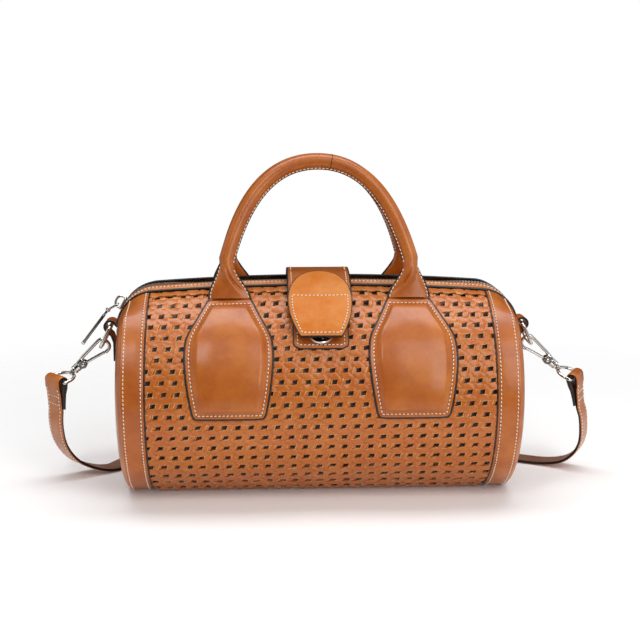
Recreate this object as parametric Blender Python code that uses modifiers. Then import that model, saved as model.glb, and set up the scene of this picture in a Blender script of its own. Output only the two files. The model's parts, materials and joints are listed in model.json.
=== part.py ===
"""Barrel handbag with a woven body, two rolled handles, a flap closure and a detachable strap.

Metres, +Z up. The bag stands on its base at Z = 0 with its length along X and its
front towards -Y. Left is -X, as the bag is seen from the front.
"""

import math

import bmesh
import bpy
from mathutils import Matrix, Vector

# Body: an oval barrel with a flattened base, closed by two domed end panels
GAP = 0.0003
HALF_LENGTH = 0.133
HALF_DEPTH = 0.077
HALF_HEIGHT = 0.0726
WALL = 0.002
BAND_THICKNESS = 0.0014
BAND_WIDTH = 0.0156
SEAM_SETBACK = 0.0022
BASE_HEIGHT = GAP + BAND_THICKNESS
FLATTENING = 0.004
CENTRE_HEIGHT = BASE_HEIGHT + HALF_HEIGHT - FLATTENING
DOME_HEIGHT = 0.0075
SHOULDER_RADIUS = 0.028
SHOULDER_CENTRE_X = HALF_LENGTH + DOME_HEIGHT - SHOULDER_RADIUS
SHOULDER_CENTRE_Z = CENTRE_HEIGHT + HALF_HEIGHT - SHOULDER_RADIUS
SHOULDER_BLEND = (0.77, 0.965)
BASE_BULGE = (0.8, 0.92)
BARREL_STEPS = 36
LINING_STEPS = 24
TOP_BOW = 0.0038

# Zip let into the top, between two piped leather strips that run down over both shoulders
PIPING_RADIUS = 0.00095
PIPING_Y = 0.01955
PIPING_RISE = 0.0012
STRIP_INNER_Y = 0.0042
STRIP_OUTER_Y = PIPING_Y - PIPING_RADIUS - GAP
STRIP_RISE = 0.001
STRIP_THICKNESS = 0.0014
SLOT_HALF_WIDTH = PIPING_Y + PIPING_RADIUS + GAP
ZIP_END_ANGLE = math.radians(86)
TEETH_HALF_WIDTH = 0.0028
TEETH_RISE = 0.0005
TAPE_THICKNESS = 0.0008
TAPE_HALF_WIDTH = 0.017
TAPE_INNER_Y = 0.0008
TAPE_RISE = STRIP_RISE - STRIP_THICKNESS - GAP
TEETH_THICKNESS = TEETH_RISE - TAPE_RISE - GAP
STOP_LENGTH = 0.002
STOP_HEIGHT = 0.0012
STOP_HALF_WIDTH = 0.0032

# Zip slider on the left shoulder, with the pull that hangs from its bridge
SLIDER_ANGLE = math.radians(59.5)
SLIDER_LENGTH = 0.0092
SLIDER_WIDTH = 0.0078
SLIDER_THICKNESS = 0.0016
SLIDER_RISE = STRIP_RISE + GAP
BRIDGE_RADIUS = 0.0009
BRIDGE_HALF_LENGTH = 0.0042
BRIDGE_HEIGHT = 0.0046
LINK_RADIUS = 0.0006
LINK_HALF_WIDTH = 0.0022
LINK_LENGTH = 0.0084
LINK_CORNER = 0.0009
LINK_ANGLE = math.radians(60)
LINK_SEAT = (0.0022, 0.0020)
PULL_ANGLE = math.radians(37.5)
PULL_LENGTH = 0.031
PULL_WIDTH = 0.006
PULL_THICKNESS = 0.0024
PULL_NECK_LENGTH = 0.0035
PULL_EYE_RADIUS = 0.0018
PULL_HOLE_RADIUS = LINK_RADIUS + 0.0003

# Lining and base board
BOARD_THICKNESS = 0.0016
BOARD_HALF_LENGTH = SHOULDER_CENTRE_X - 0.0025
BOARD_HALF_WIDTH = 0.020
LINING_DEPTH = WALL + BOARD_THICKNESS + 2 * GAP
LINING_THICKNESS = 0.0006
LINING_HALF_LENGTH = HALF_LENGTH - SEAM_SETBACK - 0.0015

# Padded handle patches, drawn by their half width at heights round the body, in degrees
PATCH_X = 0.0615
PATCH_TOP = 61.5
PATCH_BOTTOM = -4.0
PATCH_OUTLINE = (
    (PATCH_TOP, 0.0147), (50.0, 0.0212), (38.0, 0.0266), (27.0, 0.0287), (15.0, 0.0286),
    (2.0, 0.0268), (-1.5, 0.0247), (PATCH_BOTTOM, 0.0208),
)
PATCH_LEATHER = 0.0016
PATCH_CROWN = 0.0026
PATCH_SEAM = 0.0055
PAD_INSET = 0.0074
PAD_MARGIN = 0.0006

# Rolled handles: an arch in a plane that leans towards the middle of the bag
HANDLE_RADIUS = 0.0052
HANDLE_WALL = 0.0013
NECK_LENGTH = 0.0272
NECK_HALF_WIDTH = 0.0142
NECK_THICKNESS = 0.0038
NECK_SEAT = 0.00165
HANDLE_HALF_SPAN = 0.0636
HANDLE_TOP_Z = 0.2305
HANDLE_LEG_PULL = Vector((-0.0109, 0.0402))
HANDLE_TOP_PULL = 0.034
HANDLE_TOP_Y = 0.0061
HANDLE_SECTIONS = 7

# Flap closure: a strap that arches over the zip, a stiff tab sewn on it and a magnetic snap
CLOSURE_HALF_WIDTH = 0.0215
CLOSURE_THICKNESS = 0.0018
TOP_HEIGHT = CENTRE_HEIGHT + HALF_HEIGHT
CLOSURE_PATH = (
    (0.0575, None), (0.049, None), (0.037, TOP_HEIGHT - 0.0034), (0.022, TOP_HEIGHT + 0.0066),
    (0.006, TOP_HEIGHT + 0.0108), (-0.010, TOP_HEIGHT + 0.0103), (-0.0225, TOP_HEIGHT + 0.0073),
    (-0.0335, TOP_HEIGHT + 0.0011), (-0.041, TOP_HEIGHT - 0.0046),
)
HINGE_INDEX = 5
TAB_THICKNESS = 0.0028
TAB_HALF_WIDTH = 0.0215
TAB_ROUND_RUN = 0.030
TAB_LOWER_RUN = 0.041
TAB_TOP_HALF_WIDTH = 0.005
TAB_BOTTOM_OVERHANG = 0.0062
SNAP_ANGLE = math.radians(40.5)
SOCKET_RADIUS = 0.009
SOCKET_THICKNESS = 0.0024
STUD_RADIUS = 0.0046
STUD_THICKNESS = 0.0016
CLOSURE_PATCH_HALF_WIDTH = 0.018
CLOSURE_PATCH_TOP = math.radians(63)
CLOSURE_PATCH_BOTTOM = math.radians(32.5)
CLOSURE_PATCH_THICKNESS = 0.0017

# D-ring held in a leather tab on each end panel
WIRE_RADIUS = 0.0013
RING_BAR_OUT = 0.0068
RING_BAR_Z = SHOULDER_CENTRE_Z - 0.0006
RING_HALF_WIDTH = 0.0096
RING_REACH = Vector((-0.0073, 0.0, -0.0151))
RING_NEAR_CORNER = 0.002
RING_FAR_CORNER = 0.0055
LOOP_LEATHER = 0.0016
LOOP_BORE_RADIUS = WIRE_RADIUS + 0.00035
LOOP_HALF_WIDTH = 0.007
LOOP_FOOT_Z = RING_BAR_Z - 0.0248
LOOP_FLARE = 0.011
LOOP_PLATE_THICKNESS = 2 * LOOP_LEATHER

# Snap hook clipped through the D-ring, and the strap ring that swivels in it
HOOK_Y = 0.005
HOOK_AXIS = Vector((0.744, 0.0, 0.668)).normalized()
HOOK_WIRE = 0.00125
HOOK_LENGTH = 0.0355
HOOK_SEAT_GAP = 0.0012
HOOK_PATH = (
    (0.0095, 0.0014), (0.0135, 0.0028), (0.0210, 0.0034), (0.0295, 0.0040), (0.0330, 0.0038),
    (0.0349, 0.0022), (HOOK_LENGTH, -0.0006), (0.0350, -0.0034), (0.0330, -0.0052), (0.0293, -0.0056),
)
BARREL_START = 0.0035
BARREL_END = 0.0088
BARREL_RADIUS = 0.0032
BARREL_WALL = 0.0014
FORK_END = 0.0142
FORK_HALF_HEIGHT = 0.0036
FORK_HALF_WIDTH = 0.003
FORK_SLOT_HALF_WIDTH = 0.0017
FORK_SLOT_TOP = 0.0014
PIN_PLACE = (0.0117, -0.0010)
PIN_RADIUS = 0.0008
PIN_HALF_LENGTH = 0.0036
PIN_CLEARANCE = 0.0003
GATE_WIRE = 0.00105
GATE_EYE_RADIUS = 0.0019
GATE_PATH = ((0.0133, -0.0014), (0.0190, -0.0027), (0.0244, -0.0039), (0.0288, -0.0050))
STEM_RADIUS = 0.0012
STEM_HEAD_RADIUS = 0.0018
STEM_HEAD_LENGTH = 0.0016
SWIVEL_HALF_WIDTH = 0.0099
SWIVEL_LENGTH = 0.0128
SWIVEL_WIRE = 0.0012
SWIVEL_NEAR_CORNER = 0.0085
SWIVEL_FAR_CORNER = 0.0017

# Shoulder strap: sewn round each strap ring, down to the ground and folded behind the bag
STRAP_WIDTH = 0.017
STRAP_THICKNESS = 0.0024
FOLD_LENGTH = 0.021
FOLD_LEATHER = 0.0017
FOLD_BORE_RADIUS = 0.0022
STRAP_REST = GAP + STRAP_THICKNESS / 2
STRAP_LIE_Y = 0.062
STRAP_RING_SET = {
    "left": (Vector((0.70, -0.71, -0.05)).normalized(), Vector((-0.68, -0.69, -0.25))),
    "right": (Vector((0.50, -0.86, -0.08)).normalized(), Vector((-0.74, -0.40, -0.33))),
}
STRAP_DROPS = {
    "left": (
        (0.0556, -0.0028, 0.0440), (0.0548, 0.0010, 0.0315), (0.0516, 0.0045, 0.0215),
        (0.0452, 0.0085, 0.0125), (0.0358, 0.0132, 0.0062), (0.0260, 0.0178, 0.0026),
        (0.0185, 0.0235, STRAP_REST), (0.0125, 0.0335, STRAP_REST), (0.0045, 0.0460, STRAP_REST),
        (-0.0090, 0.0565, STRAP_REST), (-0.0250, 0.0608, STRAP_REST),
    ),
    "right": (
        (0.0630, -0.0002, 0.0435), (0.0646, 0.0030, 0.0300), (0.0638, 0.0062, 0.0205),
        (0.0602, 0.0098, 0.0125), (0.0532, 0.0150, 0.0058), (0.0415, 0.0232, 0.0020),
        (0.0270, 0.0308, STRAP_REST), (0.0150, 0.0382, STRAP_REST), (0.0040, 0.0475, STRAP_REST),
        (-0.0090, 0.0565, STRAP_REST), (-0.0250, 0.0608, STRAP_REST),
    ),
}
FOLD_PITCH = 0.0048
FOLD_RIGHT = HALF_LENGTH - 0.033
FOLD_START = HALF_LENGTH - 0.048
FOLD_LEFT = -0.02
BUCKLE_X = -0.062
BUCKLE_LENGTH = 0.016
BUCKLE_HALF_WIDTH = 0.0108
BUCKLE_WIRE = 0.0012
BUCKLE_FOLD_LENGTH = 0.018
PRONG_WIRE = 0.0008
PRONG_HOLE_PLACE = 0.0088
PRONG_HOLE_LENGTH = 0.0072
STRAP_TIP_X = BUCKLE_X - 0.040
KEEPER_X = BUCKLE_X - 0.028
KEEPER_WIDTH = 0.007
KEEPER_THICKNESS = 0.0012

SIDES = (("left", 1), ("right", -1))
LEATHER = ("tan_leather", (0.47, 0.16, 0.035), 0.3, 0.0)
EDGE = ("dark_edge_leather", (0.02, 0.012, 0.01), 0.45, 0.0)
WEAVE = ("woven_leather", (0.45, 0.16, 0.04), 0.4, 0.0)
FOAM = ("foam", (0.6, 0.55, 0.45), 0.9, 0.0)
BOARD = ("board", (0.25, 0.2, 0.15), 0.9, 0.0)
CLOTH = ("lining_cloth", (0.05, 0.045, 0.05), 0.9, 0.0)
METAL = ("nickel_plate", (0.7, 0.7, 0.7), 0.2, 1.0)
TAPE = ("zip_tape", (0.02, 0.02, 0.022), 0.85, 0.0)

PARTS = bpy.data.collections.new("Barrel handbag")
CUTTERS = bpy.data.collections.new("Cutters")


def empty_scene():
    for item in list(bpy.data.objects):
        bpy.data.objects.remove(item, do_unlink=True)
    bpy.context.scene.collection.children.link(PARTS)
    bpy.context.scene.collection.children.link(CUTTERS)
    CUTTERS.hide_render = True


def surface_material(name, look):
    kind, colour, roughness, metallic = look
    material = bpy.data.materials.new(f"{kind}_{name}")
    material.use_nodes = True
    shader = material.node_tree.nodes["Principled BSDF"]
    shader.inputs["Base Color"].default_value = (*colour, 1.0)
    shader.inputs["Roughness"].default_value = roughness
    shader.inputs["Metallic"].default_value = metallic
    return material


def add_part(name, data, look):
    part = bpy.data.objects.new(name, data)
    PARTS.objects.link(part)
    data.materials.append(surface_material(name, look))
    return part


def add_cutter(name, mesh):
    cutter = bpy.data.objects.new(name, mesh)
    CUTTERS.objects.link(cutter)
    cutter.hide_render = True
    cutter.display_type = "WIRE"
    return cutter


def combine(part, other, operation):
    step = part.modifiers.new(other.name, "BOOLEAN")
    step.operation = operation
    step.object = other
    step.solver = "EXACT"


def mesh_from(bm, name):
    mesh = bpy.data.meshes.new(name)
    bm.to_mesh(mesh)
    bm.free()
    mesh.shade_smooth()
    mesh.set_sharp_from_angle(angle=math.radians(35))
    return mesh


def box_mesh(name, low, high, frame=None):
    """A box between two corners, optionally in a frame given by a matrix."""
    bm = bmesh.new()
    bmesh.ops.create_cube(bm, size=1.0)
    low, high = Vector(low), Vector(high)
    for vert in bm.verts:
        vert.co = Vector((low[i] + high[i]) / 2 + vert.co[i] * (high[i] - low[i]) for i in range(3))
    if frame is not None:
        bm.transform(frame)
    return mesh_from(bm, name)


def cylinder_mesh(name, start, end, radius, segments=16):
    """A cylinder between two points."""
    start, end = Vector(start), Vector(end)
    bm = bmesh.new()
    bmesh.ops.create_cone(
        bm, cap_ends=True, segments=segments, radius1=radius, radius2=radius, depth=(end - start).length
    )
    turn = (end - start).to_track_quat("Z", "Y").to_matrix().to_4x4()
    bm.transform(Matrix.Translation((start + end) / 2) @ turn)
    return mesh_from(bm, name)


def wire_curve(name, points, radius, closed=False, sides=2):
    """A round wire through points, as a curve with filled ends."""
    curve = bpy.data.curves.new(name, "CURVE")
    curve.dimensions = "3D"
    curve.bevel_depth = radius
    curve.bevel_resolution = sides
    curve.use_fill_caps = not closed
    spline = curve.splines.new("POLY")
    spline.points.add(len(points) - 1)
    for target, point in zip(spline.points, points):
        target.co = (*point, 1.0)
    spline.use_cyclic_u = closed
    return curve


def curve_to_mesh(curve, name):
    """The mesh of a curve, closed at its caps, for a piece that is cut or joined."""
    holder = bpy.data.objects.new(name, curve)
    bpy.context.scene.collection.objects.link(holder)
    graph = bpy.context.evaluated_depsgraph_get()
    mesh = bpy.data.meshes.new_from_object(holder.evaluated_get(graph))
    bpy.data.objects.remove(holder, do_unlink=True)
    bm = bmesh.new()
    bm.from_mesh(mesh)
    bmesh.ops.remove_doubles(bm, verts=bm.verts, dist=0.00001)
    bmesh.ops.recalc_face_normals(bm, faces=bm.faces)
    bpy.data.meshes.remove(mesh)
    return mesh_from(bm, name)


def sheet(name, across, along, place, thickness, look, flip=False):
    """A grid laid on a surface by place(u, v) and given its thickness on the inner side."""
    bm = bmesh.new()
    bmesh.ops.create_grid(bm, x_segments=len(across) - 1, y_segments=len(along) - 1, size=1.0)
    for vert in bm.verts:
        column = round((vert.co.x + 1) / 2 * (len(across) - 1))
        row = round((vert.co.y + 1) / 2 * (len(along) - 1))
        vert.co = place(across[column], along[row])
    if flip:
        bmesh.ops.reverse_faces(bm, faces=bm.faces)
    part = add_part(name, mesh_from(bm, name), look)
    wall = part.modifiers.new("Thickness", "SOLIDIFY")
    wall.thickness = thickness
    wall.offset = -1.0
    wall.use_even_offset = True
    return part


def spread(low, high, steps):
    return [low + (high - low) * i / steps for i in range(steps + 1)]


def smooth_path(points, steps):
    """Points on a smooth curve through the given ones, with steps between each pair."""
    points = [Vector(p) for p in points]
    ends = [points[0] * 2 - points[1]] + points + [points[-1] * 2 - points[-2]]
    path = []
    for before, start, end, after in zip(ends, ends[1:], ends[2:], ends[3:]):
        for i in range(steps):
            t = i / steps
            path.append(
                0.5 * (
                    2 * start + (end - before) * t
                    + (2 * before - 5 * start + 4 * end - after) * t * t
                    + (3 * start - before - 3 * end + after) * t ** 3
                )
            )
    return path + [points[-1]]


def ease(t):
    t = min(max(t, 0.0), 1.0)
    return t * t * (3 - 2 * t)


def interpolate(table, value):
    """The second column of a table at a value of the first, which falls down the table."""
    for (upper, upper_value), (lower, lower_value) in zip(table, table[1:]):
        if value >= lower:
            share = min(max((upper - value) / (upper - lower), 0.0), 1.0)
            return upper_value + (lower_value - upper_value) * share
    return table[-1][1]


def top_bow(x):
    """How far the top bows up between the shoulders."""
    return TOP_BOW * max(1 - (x / SHOULDER_CENTRE_X) ** 2, 0.0)


def shoulder_drop(x, offset):
    """How far the top line falls below the height of its straight part: down the shoulders."""
    radius = SHOULDER_RADIUS + offset
    reach = min(max(abs(x) - SHOULDER_CENTRE_X, 0.0), radius)
    return radius - math.sqrt(radius ** 2 - reach ** 2) - top_bow(x)


def shoulder_share(angle):
    low, high = SHOULDER_BLEND
    return ease((math.sin(angle) - low) / (high - low))


def base_drop(x, angle):
    """How far the base between the end bands comes down, to stand level with them."""
    low, high = BASE_BULGE
    band_edge = HALF_LENGTH - BAND_WIDTH
    along = min(max((band_edge - abs(x)) / (band_edge - SHOULDER_CENTRE_X), 0.0), 1.0)
    return BASE_HEIGHT * along * ease((-math.sin(angle) - low) / (high - low))


def body_point(x, angle, offset):
    """A point on the barrel. The angle is 0 at the front, 90 degrees on top, -90 at the base."""
    y = -(HALF_DEPTH + offset) * math.cos(angle)
    z = CENTRE_HEIGHT + (HALF_HEIGHT + offset) * math.sin(angle)
    z = max(z, BASE_HEIGHT - offset) - base_drop(x, angle)
    return Vector((x, y, z - shoulder_drop(x, offset) * shoulder_share(angle)))


def body_normal(angle):
    normal = Vector((0.0, -math.cos(angle) / HALF_DEPTH, math.sin(angle) / HALF_HEIGHT))
    return normal.normalized()


def angle_at_y(y, offset=0.0):
    """The angle above the front at which the barrel's surface is at a distance y from its middle."""
    return math.acos(-y / (HALF_DEPTH + offset))


def dome_point(share, angle, offset):
    """A point on the right end panel, from its centre at share 0 to its seam at share 1."""
    seam = body_point(HALF_LENGTH + offset, angle, offset)
    y = seam.y * share
    z = CENTRE_HEIGHT + (seam.z - CENTRE_HEIGHT) * share
    domed = DOME_HEIGHT * math.sqrt(max(1 - share ** 2, 0.0))
    radius = SHOULDER_RADIUS + offset
    climb = min(max(z - SHOULDER_CENTRE_Z, 0.0), radius)
    rounded = SHOULDER_CENTRE_X + math.sqrt(radius ** 2 - climb ** 2) - HALF_LENGTH - offset
    mix = shoulder_share(angle)
    return Vector((HALF_LENGTH + offset + domed * (1 - mix) + rounded * mix, y, z))


def zip_point(run, y, offset):
    """A point on the zip's band: along the top by run, then down over a shoulder."""
    sag = HALF_HEIGHT * (1 - math.sqrt(1 - (y / HALF_DEPTH) ** 2))
    beyond = abs(run) - SHOULDER_CENTRE_X
    if beyond <= 0:
        return Vector((run, y, CENTRE_HEIGHT + HALF_HEIGHT + offset - sag + top_bow(run)))
    angle = beyond / SHOULDER_RADIUS
    radius = SHOULDER_RADIUS + offset - sag
    x = SHOULDER_CENTRE_X + radius * math.sin(angle)
    return Vector((math.copysign(x, run), y, SHOULDER_CENTRE_Z + radius * math.cos(angle)))


def zip_runs(end_angle=ZIP_END_ANGLE, steps=8):
    """Places along the zip: few on the straight top, more over the shoulders."""
    bend = [SHOULDER_CENTRE_X + a * SHOULDER_RADIUS for a in spread(0.0, end_angle, steps)]
    top = spread(0.0, SHOULDER_CENTRE_X, 3)[:-1]
    right = top + bend
    return [-run for run in reversed(right[1:])] + right


def barrel_angles(inner_offset, steps):
    """Angles round the barrel, from the slot's back edge by way of the base to its front edge.

    The inner face of a sheet reaches nearest to the piping, so its offset sets the edge.
    """
    edge = math.acos(SLOT_HALF_WIDTH / (HALF_DEPTH + inner_offset))
    return spread(-math.pi - edge, edge, steps)


def seam_stations():
    """Places along X where the shell and the band over its end both have their corners."""
    return spread(HALF_LENGTH - BAND_WIDTH, HALF_LENGTH - SEAM_SETBACK, 3)


def make_shell():
    right = spread(0.0, SHOULDER_CENTRE_X, 2)[1:] + seam_stations()
    stations = [-x for x in reversed(right)] + [0.0] + right
    sheet("woven_shell", stations, barrel_angles(-WALL, BARREL_STEPS), lambda x, a: body_point(x, a, 0.0), WALL, WEAVE)


def make_lining():
    depth = -LINING_DEPTH
    right = [SHOULDER_CENTRE_X / 2] + spread(SHOULDER_CENTRE_X, LINING_HALF_LENGTH, 2)
    stations = [-x for x in reversed(right)] + right
    sheet("lining", stations, barrel_angles(depth - LINING_THICKNESS, LINING_STEPS), lambda x, a: body_point(x, a, depth), LINING_THICKNESS, CLOTH)


def make_base_board():
    floor = WALL + GAP
    mesh = box_mesh(
        "base_board",
        (-BOARD_HALF_LENGTH, -BOARD_HALF_WIDTH, floor),
        (BOARD_HALF_LENGTH, BOARD_HALF_WIDTH, floor + BOARD_THICKNESS),
    )
    add_part("base_board", mesh, BOARD)


def make_end_band(side, sign):
    offset = GAP + BAND_THICKNESS
    stations = sorted(-sign * x for x in seam_stations() + [HALF_LENGTH])
    angles = barrel_angles(-WALL, BARREL_STEPS)
    sheet(
        f"end_band_{side}", stations, angles, lambda x, a: body_point(x, a, offset), BAND_THICKNESS, LEATHER
    )


def make_end_panel(side, sign):
    """A domed panel with a slot at its top, where the zip's band comes down over the shoulder."""
    bm = bmesh.new()
    bmesh.ops.create_uvsphere(bm, u_segments=32, v_segments=10, radius=1.0)
    lower = [vert for vert in bm.verts if vert.co.z < -0.01]
    bmesh.ops.delete(bm, geom=lower, context="VERTS")
    for vert in bm.verts:
        share = min(math.hypot(vert.co.x, vert.co.y), 1.0)
        point = dome_point(share, math.atan2(vert.co.y, vert.co.x), 0.0)
        vert.co = Vector((-sign * point.x, point.y, point.z))
    if sign < 0:
        bmesh.ops.reverse_faces(bm, faces=bm.faces)
    panel = add_part(f"end_panel_{side}", mesh_from(bm, f"end_panel_{side}"), LEATHER)
    wall = panel.modifiers.new("Thickness", "SOLIDIFY")
    wall.thickness = WALL
    wall.offset = -1.0
    slot_floor = zip_end_height() - GAP
    reach = SHOULDER_CENTRE_X, HALF_LENGTH + 2 * DOME_HEIGHT
    low = (min(-sign * r for r in reach), -SLOT_HALF_WIDTH, slot_floor)
    high = (max(-sign * r for r in reach), SLOT_HALF_WIDTH, CENTRE_HEIGHT + 2 * HALF_HEIGHT)
    combine(panel, add_cutter(f"slot_{side}", box_mesh("slot", low, high)), "DIFFERENCE")


def zip_end_height():
    """The height of the lower end of the zip's leather strips."""
    lowest = SHOULDER_RADIUS - 2 * HALF_HEIGHT * (1 - math.sqrt(1 - (PIPING_Y / HALF_DEPTH) ** 2))
    return SHOULDER_CENTRE_Z + lowest * math.cos(ZIP_END_ANGLE) - PIPING_RADIUS * math.sin(ZIP_END_ANGLE)


def make_zip():
    runs = zip_runs()
    for name, sign in (("front", -1), ("back", 1)):
        edge = [zip_point(run, sign * PIPING_Y, PIPING_RISE) for run in runs]
        add_part(f"piping_{name}", wire_curve(f"piping_{name}", edge, PIPING_RADIUS), EDGE)
        strip = sorted((sign * STRIP_INNER_Y, sign * (STRIP_INNER_Y + STRIP_OUTER_Y) / 2, sign * STRIP_OUTER_Y))
        sheet(f"zip_strip_{name}", runs, strip, lambda r, y: zip_point(r, y, STRIP_RISE), STRIP_THICKNESS, LEATHER)
        tape = sorted((sign * TAPE_INNER_Y, sign * TAPE_HALF_WIDTH))
        sheet(f"zip_tape_{name}", runs, tape, lambda r, y: zip_point(r, y, TAPE_RISE), TAPE_THICKNESS, TAPE)
    teeth = (-TEETH_HALF_WIDTH, TEETH_HALF_WIDTH)
    sheet("zip_teeth", runs, teeth, lambda r, y: zip_point(r, y, TEETH_RISE), TEETH_THICKNESS, METAL)


def zip_frame(angle, sign=1):
    """A frame on the shoulder: X along the zip towards its end, Y back, Z out of the surface."""
    tangent = Vector((-sign * math.cos(angle), 0.0, -math.sin(angle)))
    normal = Vector((-sign * math.sin(angle), 0.0, math.cos(angle)))
    origin = Vector((-sign * SHOULDER_CENTRE_X, 0.0, SHOULDER_CENTRE_Z)) + normal * SHOULDER_RADIUS
    across = normal.cross(tangent)
    frame = Matrix((tangent, across, normal)).transposed().to_4x4()
    return Matrix.Translation(origin) @ frame


def make_zip_stop(side, sign):
    frame = zip_frame(ZIP_END_ANGLE - STOP_LENGTH / SHOULDER_RADIUS, sign)
    low = (-STOP_LENGTH / 2, -STOP_HALF_WIDTH, TEETH_RISE + GAP)
    high = (STOP_LENGTH / 2, STOP_HALF_WIDTH, TEETH_RISE + GAP + STOP_HEIGHT)
    add_part(f"zip_stop_{side}", box_mesh(f"zip_stop_{side}", low, high, frame), METAL)


def make_slider():
    """Slider body with its bridge, on the teeth at the closed end of the zip."""
    frame = zip_frame(SLIDER_ANGLE)
    low = (-SLIDER_LENGTH / 2, -SLIDER_WIDTH / 2, SLIDER_RISE)
    high = (SLIDER_LENGTH / 2, SLIDER_WIDTH / 2, SLIDER_RISE + SLIDER_THICKNESS)
    plate = add_part("zip_slider", box_mesh("zip_slider", low, high, frame), METAL)
    top = SLIDER_RISE + SLIDER_THICKNESS
    arch = [(-BRIDGE_HALF_LENGTH, top - BRIDGE_RADIUS)]
    arch += [
        (-BRIDGE_HALF_LENGTH * math.cos(a), top + BRIDGE_HEIGHT * math.sin(a) ** 0.6)
        for a in spread(0.15, math.pi - 0.15, 10)
    ]
    arch += [(BRIDGE_HALF_LENGTH, top - BRIDGE_RADIUS)]
    points = [frame @ Vector((along, 0.0, out)) for along, out in arch]
    bridge = curve_to_mesh(wire_curve("bridge", points, BRIDGE_RADIUS), "bridge")
    combine(plate, add_cutter("bridge", bridge), "UNION")


def pull_pivot():
    """The place under the slider's bridge where the pull's link turns."""
    along, above = LINK_SEAT
    return zip_frame(SLIDER_ANGLE) @ Vector((along, 0.0, SLIDER_RISE + SLIDER_THICKNESS + above))


def hanging(angle):
    """The direction of a piece that hangs outwards at an angle from straight down."""
    return Vector((-math.sin(angle), 0.0, -math.cos(angle)))


def link_eye():
    """The place in the link's lower end where the pull bar turns."""
    return pull_pivot() + hanging(LINK_ANGLE) * (LINK_LENGTH)


def make_pull():
    """Wire link through the bridge, and the metal bar that hangs from it."""
    start = pull_pivot()
    down = hanging(LINK_ANGLE)
    across = Vector((0.0, 1.0, 0.0))
    loop = rounded_loop(LINK_HALF_WIDTH, LINK_LENGTH, LINK_CORNER, LINK_CORNER, 3)
    points = [start + across * a + down * b for a, b in loop]
    add_part("zip_pull_link", wire_curve("zip_pull_link", points, LINK_RADIUS, closed=True), METAL)
    eye = link_eye()
    bar_down = hanging(PULL_ANGLE)
    side = across.cross(bar_down).normalized()
    frame = Matrix.Translation(eye) @ Matrix((side, across, bar_down)).transposed().to_4x4()
    half_thick = PULL_THICKNESS / 2
    low = (-half_thick, -PULL_WIDTH / 2, PULL_NECK_LENGTH)
    high = (half_thick, PULL_WIDTH / 2, PULL_LENGTH)
    bar = add_part("zip_pull_bar", box_mesh("zip_pull_bar", low, high, frame), METAL)
    reach = LINK_HALF_WIDTH - LINK_CORNER - GAP
    neck_half = (half_thick * 0.8, reach * 0.9)
    neck = box_mesh(
        "pull_neck", (-neck_half[0], -neck_half[1], PULL_HOLE_RADIUS),
        (neck_half[0], neck_half[1], 2 * PULL_NECK_LENGTH), frame,
    )
    ring = cylinder_mesh("pull_eye", eye - across * reach, eye + across * reach, PULL_EYE_RADIUS)
    hole = cylinder_mesh("pull_hole", eye - across * PULL_WIDTH, eye + across * PULL_WIDTH, PULL_HOLE_RADIUS, 12)
    combine(bar, add_cutter("pull_neck", neck), "UNION")
    combine(bar, add_cutter("pull_eye", ring), "UNION")
    combine(bar, add_cutter("pull_hole", hole), "DIFFERENCE")


def rounded_loop(half_width, length, near_corner, far_corner, steps=4):
    """A closed loop from a straight side at 0 to one at its length, with rounded corners."""
    corners = (
        (half_width - near_corner, near_corner, near_corner, -90),
        (half_width - far_corner, length - far_corner, far_corner, 0),
        (-half_width + far_corner, length - far_corner, far_corner, 90),
        (-half_width + near_corner, near_corner, near_corner, 180),
    )
    points = []
    for x, y, radius, start in corners:
        for angle in spread(math.radians(start), math.radians(start + 90), steps):
            points.append((x + radius * math.cos(angle), y + radius * math.sin(angle)))
    return points


def patch_half_width(angle):
    return interpolate(PATCH_OUTLINE, math.degrees(angle))


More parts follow.
